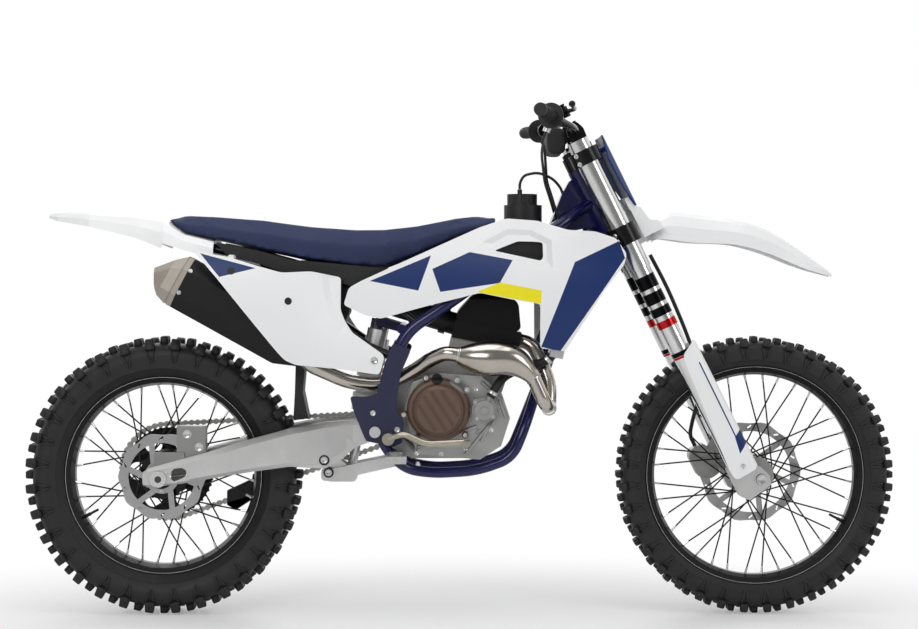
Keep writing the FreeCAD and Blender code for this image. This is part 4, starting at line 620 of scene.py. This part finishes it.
def spoke_line(wheel, index):
    """Hub end and rim end of a spoke, as the construction model has them, from the axle."""
    side = 1 if index % 2 else -1
    lead = 1 if (index // 2) % 2 else -1
    rim_angle = math.tau * (index + 0.5) / SPOKE_COUNT
    hub_angle = rim_angle + lead * SPOKE_TURN
    y = side * (wheel["flange_y"] + 0.0025 + lead * 0.0046)
    hub = Vector((wheel["flange"] * math.cos(hub_angle), y, wheel["flange"] * math.sin(hub_angle)))
    rim = Vector((wheel["rim"] * math.cos(rim_angle), side * 0.007, wheel["rim"] * math.sin(rim_angle)))
    return hub, rim


def nipple_places(wheel):
    """Placements at the rim end of every spoke, facing the hub."""
    places = []
    for index in range(SPOKE_COUNT):
        hub, rim = spoke_line(wheel, index)
        along = (hub - rim).normalized()
        places.append(placed(wheel["axle"] + rim - along * 0.0005, along))
    return places


def bolt_circle(wheel, radius, y):
    """Placements round a wheel's axle, facing away from the wheel's middle."""
    places = []
    for step in range(BOLTS_ROUND):
        angle = math.tau * (step + 0.5) / BOLTS_ROUND
        spot = Vector((radius * math.cos(angle), y, radius * math.sin(angle)))
        places.append(placed(wheel["axle"] + spot, (0, math.copysign(1, y), 0)))
    return places


class BIKE_OT_wheel_details(bpy.types.Operator):
    """Spoke nipples, valve stems, disc and sprocket bolts, and a painted highlight on each rim: a thin silver
    ring where the rim shows a glint
    """
    bl_idname = "bike.wheel_details"
    bl_label = "Wheel details"

    def execute(self, context):
        for end, wheel in WHEELS.items():
            bm = bmesh.new()
            repeated(bm, round_mesh(**NIPPLE), nipple_places(wheel))
            for share, radius, y, height in wheel["bolts"]:
                bolt = bolt_mesh(context.scene.bike_sizes.bolt_radius * share, height)
                repeated(bm, bolt, bolt_circle(wheel, radius, y))
            finished_piece(f"{end}_nipples", bm, "ground_steel", f"{end}_wheel")

            # Painted highlight: thin silver ring on each side of the rim, in place of its glint
            bm = bmesh.new()
            glint_places = [placed(wheel["axle"] + Vector((0, side * wheel["rim_half"], 0)), (0, side, 0))
                     for side in BOTH]
            line = ring_mesh(wheel["bead"] + 0.0097, wheel["bead"] + 0.0088, 0.0006, segments=96)
            repeated(bm, line, glint_places)
            finished_piece(f"{end}_rim_glint", bm, "cast_aluminium", f"{end}_wheel")

            bm = bmesh.new()
            angle = math.radians(wheel["valve"])
            inward = Vector((-math.cos(angle), 0, -math.sin(angle)))
            foot = placed(wheel["axle"] - inward * (wheel["rim"] + 0.001), inward)
            for radius, length in VALVE:
                repeated(bm, round_mesh(radius, length, 0.001, segments=12), [foot])
            finished_piece(f"{end}_valve", bm, "hose_rubber", f"{end}_wheel")
        return {"FINISHED"}


# Chain. Each sprocket has its centre as (x, z) above the ground and its number of teeth.
CHAIN_Y, CHAIN_PITCH = 0.068, 0.015875
SPROCKETS = ((Vector((0.0, 0.350)), 48), (Vector((0.600, 0.470)), 13))
PLATE_THICKNESS = 0.0016
# End radius of a plate, and its distance from the chain's middle
OUTER_PLATE, INNER_PLATE = (0.0068, 0.0062), (0.0072, 0.0045)
ROLLER_RADIUS, ROLLER_WIDTH = 0.0045, 0.013


def rim_point(centre, radius, angle):
    """Point on a circle of the side view."""
    return centre + Vector((math.cos(angle), math.sin(angle))) * radius


def chain_pins():
    """Pins of the closed chain, as (x, z) points above the ground, evenly spaced round its path."""
    (rear, _), (drive, _) = SPROCKETS
    big, small = [CHAIN_PITCH / (2 * math.sin(math.pi / teeth)) for _, teeth in SPROCKETS]
    gap = drive - rear
    tilt = math.atan2(gap.y, gap.x)
    spread = math.acos((big - small) / gap.length)
    upper, lower = tilt + spread, tilt - spread
    straight = math.sqrt(gap.length_squared - (big - small) ** 2)
    rear_end = big * (math.tau - 2 * spread)
    lower_end = rear_end + straight
    drive_end = lower_end + small * 2 * spread
    whole = drive_end + straight
    count = 2 * round(whole / CHAIN_PITCH / 2)
    pins = []
    for index in range(count):
        run = index * whole / count
        if run < rear_end:
            pin = rim_point(rear, big, upper + run / big)
        elif run < lower_end:
            share = (run - rear_end) / straight
            pin = rim_point(rear, big, lower).lerp(rim_point(drive, small, lower), share)
        elif run < drive_end:
            pin = rim_point(drive, small, lower + (run - lower_end) / small)
        else:
            share = (run - drive_end) / straight
            pin = rim_point(drive, small, upper).lerp(rim_point(rear, big, upper), share)
        pins.append(pin)
    return pins


def link_plate_mesh(radius):
    """Side plate of a chain link: two round ends and a narrower waist."""
    bm = bmesh.new()
    lift = Matrix.Translation((0, 0, PLATE_THICKNESS / 2))
    for x in (-CHAIN_PITCH / 2, CHAIN_PITCH / 2):
        bmesh.ops.create_cone(bm, cap_ends=True, segments=12, radius1=radius, radius2=radius,
                              depth=PLATE_THICKNESS, matrix=lift @ Matrix.Translation((x, 0, 0)))
    waist = Matrix.Diagonal((CHAIN_PITCH, radius * 1.1, PLATE_THICKNESS * 0.9, 1.0))
    bmesh.ops.create_cube(bm, size=1.0, matrix=lift @ waist)
    return part_mesh(bm)


class BIKE_OT_chain(bpy.types.Operator):
    """Roller chain, with outer and inner plates by turns and a roller at each pin"""
    bl_idname = "bike.chain"
    bl_label = "Chain"

    def execute(self, context):
        pins = [Vector((pin.x, 0.0, pin.y)) - SEAT_MOUNT for pin in chain_pins()]
        across = Vector((0, 1, 0))
        outer, inner, rollers = [], [], []
        for index, pin in enumerate(pins):
            following = pins[(index + 1) % len(pins)]
            along = (following - pin).normalized()
            facing = Matrix((along, along.cross(across), across)).transposed().to_4x4()
            places, (_, gap) = (outer, OUTER_PLATE) if index % 2 else (inner, INNER_PLATE)
            for y in (CHAIN_Y - gap - PLATE_THICKNESS, CHAIN_Y + gap):
                places.append(Matrix.Translation((pin + following) / 2 + across * y) @ facing)
            rollers.append(placed(pin + across * (CHAIN_Y - ROLLER_WIDTH / 2), across))
        bm = bmesh.new()
        repeated(bm, link_plate_mesh(OUTER_PLATE[0]), outer)
        repeated(bm, link_plate_mesh(INNER_PLATE[0]), inner)
        repeated(bm, round_mesh(ROLLER_RADIUS, ROLLER_WIDTH, 0.0006, segments=10), rollers)
        chain = finished_piece("chain_links", bm, "chain_steel", "chassis")
        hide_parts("chain")
        return {"FINISHED"}


# Cushions
CLOTH_PRESSURE = 4.0
CLOTH_FRAMES = 20


def applied_mesh(source):
    """Mesh of an object with its modifiers applied."""
    return bpy.data.meshes.new_from_object(source.evaluated_get(bpy.context.evaluated_depsgraph_get()))


def stuffed_mesh(source, swell):
    """Mesh of a closed form blown up by a cloth simulation, no point of it by more than the swell."""
    scene = bpy.context.scene
    cloth = source.modifiers.new("stuffing", "CLOTH")
    cloth.settings.use_pressure = True
    cloth.settings.uniform_pressure_force = CLOTH_PRESSURE
    cloth.settings.effector_weights.gravity = 0.0
    for moment in range(1, CLOTH_FRAMES + 1):
        scene.frame_set(moment)
    puffed = applied_mesh(source)
    for before, after in zip(source.data.vertices, puffed.vertices):
        step = after.co - before.co
        after.co = before.co + step * min(1.0, swell / max(step.length, 1e-6))
    scene.frame_set(1)
    return puffed


def cushion_mesh(node, voxel, slack, swell):
    """Stuffed form of a construction solid, which starts a little smaller than the solid."""
    bm = bmesh.new()
    bm.from_mesh(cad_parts[node].data)
    bmesh.ops.remove_doubles(bm, verts=bm.verts, dist=0.0001)
    bm.normal_update()
    for vert in bm.verts:
        vert.co -= vert.normal * slack
    source = new_object(f"{node}_form", part_mesh(bm))
    remesh = source.modifiers.new("skin", "REMESH")
    remesh.mode = "VOXEL"
    remesh.voxel_size = voxel
    form = applied_mesh(source)
    source.modifiers.clear()
    source.data = form
    form = stuffed_mesh(source, swell)
    bpy.data.objects.remove(source)
    return form


def add_cushion(node, name, material, body, voxel, slack, swell):
    """Padded piece in place of a construction solid."""
    mesh = cushion_mesh(node, voxel, slack, swell)
    mesh.materials.append(bpy.data.materials[f"look_{material}"])
    mesh.shade_smooth()
    cushion = new_object(name, mesh)
    smooth = cushion.modifiers.new("smooth", "SUBSURF")
    smooth.levels = smooth.render_levels = 1
    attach(cushion, body)
    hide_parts(node)


class BIKE_OT_cushions(bpy.types.Operator):
    """Foam saddle with its gripper cover, and the pad on the bar"""
    bl_idname = "bike.cushions"
    bl_label = "Cushions"

    def execute(self, context):
        add_cushion("seat", "saddle", "seat_cover", "chassis", 0.006, 0.003, 0.005)
        add_cushion("bar_pad", "bar_cushion", "pad_cover", "steering", 0.004, 0.002, 0.003)
        return {"FINISHED"}


# Cables. Edges of the cables longer than this are cut up.
LONGEST_CABLE_EDGE = 0.012


class BIKE_OT_cables(bpy.types.Operator):
    """Throttle cable and clutch hose, with their long edges cut up"""
    bl_idname = "bike.cables"
    bl_label = "Cables"

    def execute(self, context):
        bm = bmesh.new()
        bm.from_mesh(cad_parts["control_cables"].data)
        bmesh.ops.remove_doubles(bm, verts=bm.verts, dist=0.00005)
        long_edges = [edge for edge in bm.edges if edge.calc_length() > LONGEST_CABLE_EDGE]
        bmesh.ops.subdivide_edges(bm, edges=long_edges, cuts=2)
        bmesh.ops.recalc_face_normals(bm, faces=bm.faces)
        mesh = part_mesh(bm)
        mesh.materials.append(bpy.data.materials["look_hose_rubber"])
        mesh.shade_smooth()
        cables = new_object("bending_cables", mesh)
        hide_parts("control_cables")
        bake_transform(cables)
        return {"FINISHED"}


# Fasteners
def on_side(node, x, z, side):
    """Point and outward normal where a line across the bike first meets a node from one side."""
    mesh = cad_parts[node].data
    solid = BVHTree.FromPolygons([vert.co for vert in mesh.vertices],
                                 [face.vertices for face in mesh.polygons])
    place, normal, _, _ = solid.ray_cast(at(x, side * 500, z), Vector((0, -side, 0)))
    if place is None:
        raise RuntimeError(f"nothing of {node} at {x}, {z}")
    return place, normal


def seats_on(node, spots, sides, sink=0.0004):
    """Placements on the sides of a node, sunk a little into it and facing outward."""
    places = []
    for side in sides:
        for x, z in spots:
            place, normal = on_side(node, x, z, side)
            places.append(placed(place - normal * sink, normal))
    return places


# Node, body, sides, share of the common bolt's radius, and places in millimetres above the ground
FASTENERS = (
    ("engine_cases", "chassis", RIGHT, 0.9, [(788, 572), (850, 530), (825, 470), (806, 452), (762, 424),
                                             (640, 412), (700, 410), (645, 440)]),
    ("engine_covers", "chassis", RIGHT, 0.8, [(663, 601), (740, 596), (765, 572), (760, 459), (608, 510)]),
    ("engine_covers", "chassis", RIGHT, 0.7, circle_of(807, 522, 28, 4, 0.9)),
    ("engine_covers", "chassis", LEFT, 0.75, circle_of(770, 500, 60, 5, 0.3)),
    ("rear_caliper", "chassis", RIGHT, 1.6, [(66, 458), (96, 426)]),
    ("frame_guards", "chassis", BOTH, 1.0, [(532, 515), (592, 474)]),
    ("side_panels", "chassis", BOTH, 1.3, [(536, 645)]),
    ("silencer", "chassis", RIGHT, 0.8, [(84, 866), (56, 813)]),
    ("triple_clamps", "steering", BOTH, 0.9, [(1034, 1148), (1043, 1128), (1130, 951), (1137, 937)]),
    ("fork_guards", "steering", BOTH, 0.9, [(1446, 384)]),
    ("front_axle", "steering", BOTH, 2.0, [(1493, 350)]),
)
BOLT_HEIGHT_SHARE = 0.7


class BIKE_OT_fasteners(bpy.types.Operator):
    """Bolts and screws of the engine, guards, panels, clamps and silencer"""
    bl_idname = "bike.fasteners"
    bl_label = "Fasteners"

    def execute(self, context):
        radius = context.scene.bike_sizes.bolt_radius
        groups = {}
        for node, body, sides, share, spots in FASTENERS:
            bm = groups.setdefault(body, bmesh.new())
            repeated(bm, bolt_mesh(radius * share, radius * BOLT_HEIGHT_SHARE), seats_on(node, spots, sides))
        for body, bm in groups.items():
            finished_piece(f"{body}_bolts", bm, "ground_steel", body)
        return {"FINISHED"}


# Trim. Grip ends in millimetres of the fork's own frame, and how many ribs would fill a grip.
GRIP_TIP, GRIP_FLANGE = (-111, 405, 1049), (-85, 275, 1031.5)
GRIP_RIBS = 22
# Ribs across the right-hand crankcase: two ends in millimetres above the ground
CASE_RIBS = (((790, 480), (640, 418)), ((800, 470), (700, 404)), ((835, 500), (760, 408)),
             ((845, 545), (862, 500)), ((640, 428), (770, 428)), ((800, 590), (850, 545)),
             ((600, 450), (640, 418)), ((840, 520), (800, 440)))
# Metal bands round pipes and hoses: place, direction, radius and width in millimetres
BANDS = (((748, -138, 657), (-1, 0, 0.12), 22, 12), ((929, -138, 600), (-0.62, 0, 0.78), 20.5, 3),
         ((741, -138, 658), (-1, 0, 0.12), 20.5, 3), ((968, -108, 526), (-0.3, -0.95, 0.1), 19.5, 3),
         ((828, -122, 565), (0.5, 0, 0.87), 13.5, 9), ((966, -98, 646), (0.74, -0.1, 0.66), 13.5, 9))
BAND_WALL = 0.004
# Node and place of each pivot, and of each side-panel hole that gets a dark disc, in millimetres above the
# ground
PIVOTS = (("swingarm", 410, 396), ("shock_linkage", 417, 358))
PANEL_HOLES = (("side_panels", 185, 866), ("side_panels", 325, 792))
# Radiators: feet of the front and rear faces, the way from foot to top, distance to the side, and gaps
# between the fins
RADIATOR_FEET, RADIATOR_RUN = ((1000, 648), (968, 655)), (52, 224)
RADIATOR_Y, FIN_GAPS = 92, 30
# Outlines in the side view
WINDOW = ((822, 912), (889, 948), (940, 946), (958, 938), (958, 892), (940, 882))
AIRBOX_STRIP = ((338, 893), (372, 890), (565, 872), (593, 850), (535, 818), (338, 860))
GUIDE_CHEEK = ((150, 264), (150, 300), (215, 330), (238, 330), (228, 292), (172, 250))
GUIDE_FLOOR = ((150, 264), (172, 250), (228, 286), (224, 291), (170, 257), (152, 270))
GUIDE_LUG = ((212, 322), (214, 340), (236, 346), (238, 326))


def add_grip_ribs():
    bm = bmesh.new()
    places = []
    for side in BOTH:
        tip, flange = [on_fork(x, side * y, z) for x, y, z in (GRIP_TIP, GRIP_FLANGE)]
        for step in range(2, GRIP_RIBS):
            places.append(placed(tip.lerp(flange, step / (GRIP_RIBS + 1)), flange - tip))
    repeated(bm, ring_mesh(0.0165, 0.0150, 0.0028, segments=24), places)
    finished_piece("grip_ribs", bm, "hose_rubber", "steering")


def add_case_ribs():
    bm = bmesh.new()
    for start, end in CASE_RIBS:
        first, _ = on_side("engine_cases", *start, -1)
        second, _ = on_side("engine_cases", *end, -1)
        along = second - first
        rib = block_mesh((0.011, 0.009, along.length), 0.002)
        repeated(bm, rib, [placed((first + second) / 2, along)])
    finished_piece("case_ribs", bm, "case_cast", "chassis")


def add_bands():
    bm = bmesh.new()
    for place, along, radius, width in BANDS:
        outer = radius / 1000
        start = at(*place) - Vector(along).normalized() * width / 2000
        repeated(bm, ring_mesh(outer, outer - BAND_WALL, width / 1000), [placed(start, along)])
    finished_piece("pipe_bands", bm, "ground_steel", "chassis")


# Dark disc on both faces of the side panels at each hole, standing in for the hole's dark look
def add_panel_hole_discs():
    bm = bmesh.new()
    places = [place for node, x, z in PANEL_HOLES for place in seats_on(node, [(x, z)], BOTH)]
    repeated(bm, round_mesh(0.009, 0.0012, 0.0004, segments=24), places)
    finished_piece("panel_hole_discs", bm, "black_plastic", "chassis")


def add_radiator_fins():
    bm = bmesh.new()
    run_x, run_z = RADIATOR_RUN
    tilt = Matrix.Rotation(math.atan2(run_x, run_z), 4, "Y")
    places = []
    for x, z in RADIATOR_FEET:
        for side in BOTH:
            for step in range(1, FIN_GAPS):
                share = step / FIN_GAPS
                spot = at(x + run_x * share, side * RADIATOR_Y, z + run_z * share)
                places.append(Matrix.Translation(spot) @ tilt)
    repeated(bm, block_mesh((0.003, 0.084, 0.0018), 0.0003), places)
    finished_piece("radiator_fins", bm, "cast_aluminium", "chassis")


def add_window_backs():
    bm = bmesh.new()
    for side in BOTH:
        add_slab(bm, WINDOW, side * 124, side * 127)
    finished_piece("window_backs", bm, "black_plastic", "chassis")


def add_chain_guide():
    """Two cheeks beside the chain's lower run, a floor below it, and the lug to the swingarm."""
    bm = bmesh.new()
    for outline, near, far in ((GUIDE_CHEEK, 57.5, 60), (GUIDE_CHEEK, 76, 78.5),
                               (GUIDE_FLOOR, 57.5, 78.5), (GUIDE_LUG, 76, 92)):
        add_slab(bm, outline, near, far)
    finished_piece("chain_guide", bm, "black_plastic", "chassis")


def add_airbox_strips():
    """Black edge of the airbox cover that shows between seat and side panel."""
    bm = bmesh.new()
    for side in BOTH:
        add_slab(bm, AIRBOX_STRIP, side * 97.5, side * 101)
    finished_piece("airbox_strips", bm, "black_plastic", "chassis")


def add_pivot_caps():
    """Black seal and bolt at both ends of the swingarm's and the linkage's pivots."""
    bm = bmesh.new()
    seals = [place for node, x, z in PIVOTS for place in seats_on(node, [(x, z)], BOTH)]
    repeated(bm, ring_mesh(0.013, 0.009, 0.002), seals)
    finished_piece("pivot_seals", bm, "black_plastic", "chassis")
    bm = bmesh.new()
    bolts = [place for node, x, z in PIVOTS for place in seats_on(node, [(x, z)], BOTH, sink=0.0)]
    repeated(bm, bolt_mesh(0.0065, 0.004), bolts)
    finished_piece("pivot_bolts", bm, "ground_steel", "chassis")


class BIKE_OT_trim(bpy.types.Operator):
    """Ribs of the grips and crankcase, bands round pipes, fins, guides and dark discs at the side panels'
    holes
    """
    bl_idname = "bike.trim"
    bl_label = "Trim"

    def execute(self, context):
        add_grip_ribs()
        add_case_ribs()
        add_bands()
        add_panel_hole_discs()
        add_radiator_fins()
        add_window_backs()
        add_chain_guide()
        add_airbox_strips()
        add_pivot_caps()
        return {"FINISHED"}


# Stage. Each lamp has a place, an aim, a width, a height and a power.
PHOTO_WIDTH, PHOTO_HEIGHT = 918, 629
CAMERA_RAYS = ("Is Camera Ray", "Is Transmission Ray")
FLOOR_HALF = 12.0
CAMERA_PLACE = Vector((0.700, -4.800, 0.888)) - SEAT_MOUNT
LAMPS = (
    ("lamp_top", (0.3, -0.6, 2.6), (0.3, 0.0, -0.3), 3.2, 2.0, 34),
    ("lamp_front", (-1.6, -4.2, 1.6), (0.2, 0.0, -0.4), 2.4, 1.6, 52),
    ("lamp_right", (3.6, -2.6, 1.2), (0.6, 0.0, -0.3), 1.2, 2.2, 28),
    ("lamp_back", (0.2, 3.6, 1.6), (0.2, 0.0, -0.3), 3.0, 1.4, 34),
)


class BIKE_OT_stage(bpy.types.Operator):
    """Floor, backdrop, lamps and the camera at the photograph's angle"""
    bl_idname = "bike.stage"
    bl_label = "Stage"

    def execute(self, context):
        make_floor()
        make_world()
        make_lamps()
        make_camera(context)
        return {"FINISHED"}


def ray_mix(tree, rays, light, seen):
    """Shader that shows one thing to the named kinds of ray, and another to the rest."""
    path = add(tree, "ShaderNodeLightPath")
    either = path.outputs[rays[0]]
    for kind in rays[1:]:
        either = math_node(tree, "MAXIMUM", either, path.outputs[kind])
    return add(tree, "ShaderNodeMixShader", {0: either, 1: light, 2: seen}).outputs[0]


def make_floor():
    """Pale floor that fades to white away from the bike and keeps its shadow."""
    bm = bmesh.new()
    bmesh.ops.create_grid(bm, x_segments=1, y_segments=1, size=FLOOR_HALF,
                          matrix=Matrix.Translation((0, 0, GROUND)))
    mesh = part_mesh(bm, "floor")
    floor = new_object("floor", mesh)
    material = bpy.data.materials.new("floor")
    material.use_nodes = True
    tree = material.node_tree
    tree.nodes.clear()
    paint = add(tree, "ShaderNodeBsdfPrincipled", {"Base Color": (0.86, 0.86, 0.87, 1), "Roughness": 0.5,
                                                   "Specular IOR Level": 0.2}).outputs[0]
    white = add(tree, "ShaderNodeEmission", {"Color": (1, 1, 1, 1), "Strength": 1.0}).outputs[0]
    seen = ray_mix(tree, CAMERA_RAYS, paint, white)
    centred = add(tree, "ShaderNodeVectorMath", {0: object_place(tree), 1: (0.26, 0.0, 0.0)},
                  operation="SUBTRACT")
    oval = add(tree, "ShaderNodeVectorMath", {0: centred.outputs[0], 1: (0.62, 1.25, 0.0)},
               operation="MULTIPLY")
    length = add(tree, "ShaderNodeVectorMath", {0: oval.outputs[0]}, operation="LENGTH")
    fade = add(tree, "ShaderNodeMapRange", {"Value": length.outputs["Value"], "From Min": 0.35,
                                            "From Max": 1.25, "To Min": 0.25, "To Max": 1.0},
               interpolation_type="SMOOTHSTEP")
    blend = add(tree, "ShaderNodeMixShader", {0: fade.outputs["Result"], 1: paint, 2: seen})
    add(tree, "ShaderNodeOutputMaterial", {"Surface": blend.outputs[0]})
    mesh.materials.append(material)


def make_world():
    """White to the camera, and to polished metal a room that is darker behind the camera."""
    world = bpy.data.worlds.new("studio")
    bpy.context.scene.world = world
    world.use_nodes = True
    tree = world.node_tree
    tree.nodes.clear()
    way = add(tree, "ShaderNodeTexCoord").outputs["Generated"]
    axes = add(tree, "ShaderNodeSeparateXYZ", {0: way})
    room = add(tree, "ShaderNodeMapRange", {"Value": axes.outputs["Y"], "From Min": -0.55,
                                            "From Max": 0.35, "To Min": 0.22, "To Max": 1.0},
               interpolation_type="SMOOTHSTEP")
    soft, mirrored, white = [
        add(tree, "ShaderNodeBackground", {"Color": (1, 1, 1, 1), "Strength": strength}).outputs[0]
        for strength in (0.42, room.outputs["Result"], 1.0)]
    lit = ray_mix(tree, ("Is Glossy Ray",), soft, mirrored)
    add(tree, "ShaderNodeOutputWorld", {"Surface": ray_mix(tree, CAMERA_RAYS, lit, white)})


def make_lamps():
    """Large soft lamps above, at the camera's side and at both ends."""
    for name, place, aim, width, height, power in LAMPS:
        data = bpy.data.lights.new(name, "AREA")
        data.shape = "RECTANGLE"
        data.size = width
        data.size_y = height
        data.energy = power
        lamp = new_object(name, data)
        lamp.location = place
        lamp.rotation_euler = (Vector(aim) - Vector(place)).to_track_quat("-Z", "Y").to_euler()


def make_camera(context):
    """Camera square to the bike's right side, with the photograph's small shift."""
    focal_px = 1890.0
    centre_u, centre_v = 441.0, 262.0
    data = bpy.data.cameras.new("camera")
    data.sensor_width = 36.0
    data.lens = data.sensor_width * focal_px / PHOTO_WIDTH
    data.shift_x = (PHOTO_WIDTH / 2 - centre_u) / PHOTO_WIDTH
    data.shift_y = (centre_v - PHOTO_HEIGHT / 2) / PHOTO_WIDTH
    camera = new_object("camera", data)
    camera.location = CAMERA_PLACE
    camera.rotation_euler = (math.pi / 2, 0.0, 0.0)
    context.scene.camera = camera
    context.scene.view_settings.view_transform = "Standard"


OPERATORS = (BIKE_OT_finishes, BIKE_OT_tyres, BIKE_OT_wheel_details, BIKE_OT_chain, BIKE_OT_cushions,
             BIKE_OT_cables, BIKE_OT_fasteners, BIKE_OT_trim, BIKE_OT_stage)


class BIKE_PT_panel(bpy.types.Panel):
    """Pieces of the bike, in the order in which they are made"""
    bl_label = "Motocross bike"
    bl_idname = "BIKE_PT_panel"
    bl_space_type = "VIEW_3D"
    bl_region_type = "UI"
    bl_category = "Bike"

    def draw(self, context):
        for operator in OPERATORS:
            self.layout.operator(operator.bl_idname)


CLASSES = (BikeColours, BikeSizes, *OPERATORS, BIKE_PT_panel)


def register():
    for cls in CLASSES:
        bpy.utils.register_class(cls)
    bpy.types.Scene.bike_colours = bpy.props.PointerProperty(type=BikeColours)
    bpy.types.Scene.bike_sizes = bpy.props.PointerProperty(type=BikeSizes)


def unregister():
    del bpy.types.Scene.bike_sizes
    del bpy.types.Scene.bike_colours
    for cls in reversed(CLASSES):
        bpy.utils.unregister_class(cls)


def main():
    register()
    for operator in OPERATORS:
        group, name = operator.bl_idname.split(".")
        getattr(getattr(bpy.ops, group), name)()


if __name__ == "__main__":
    main()
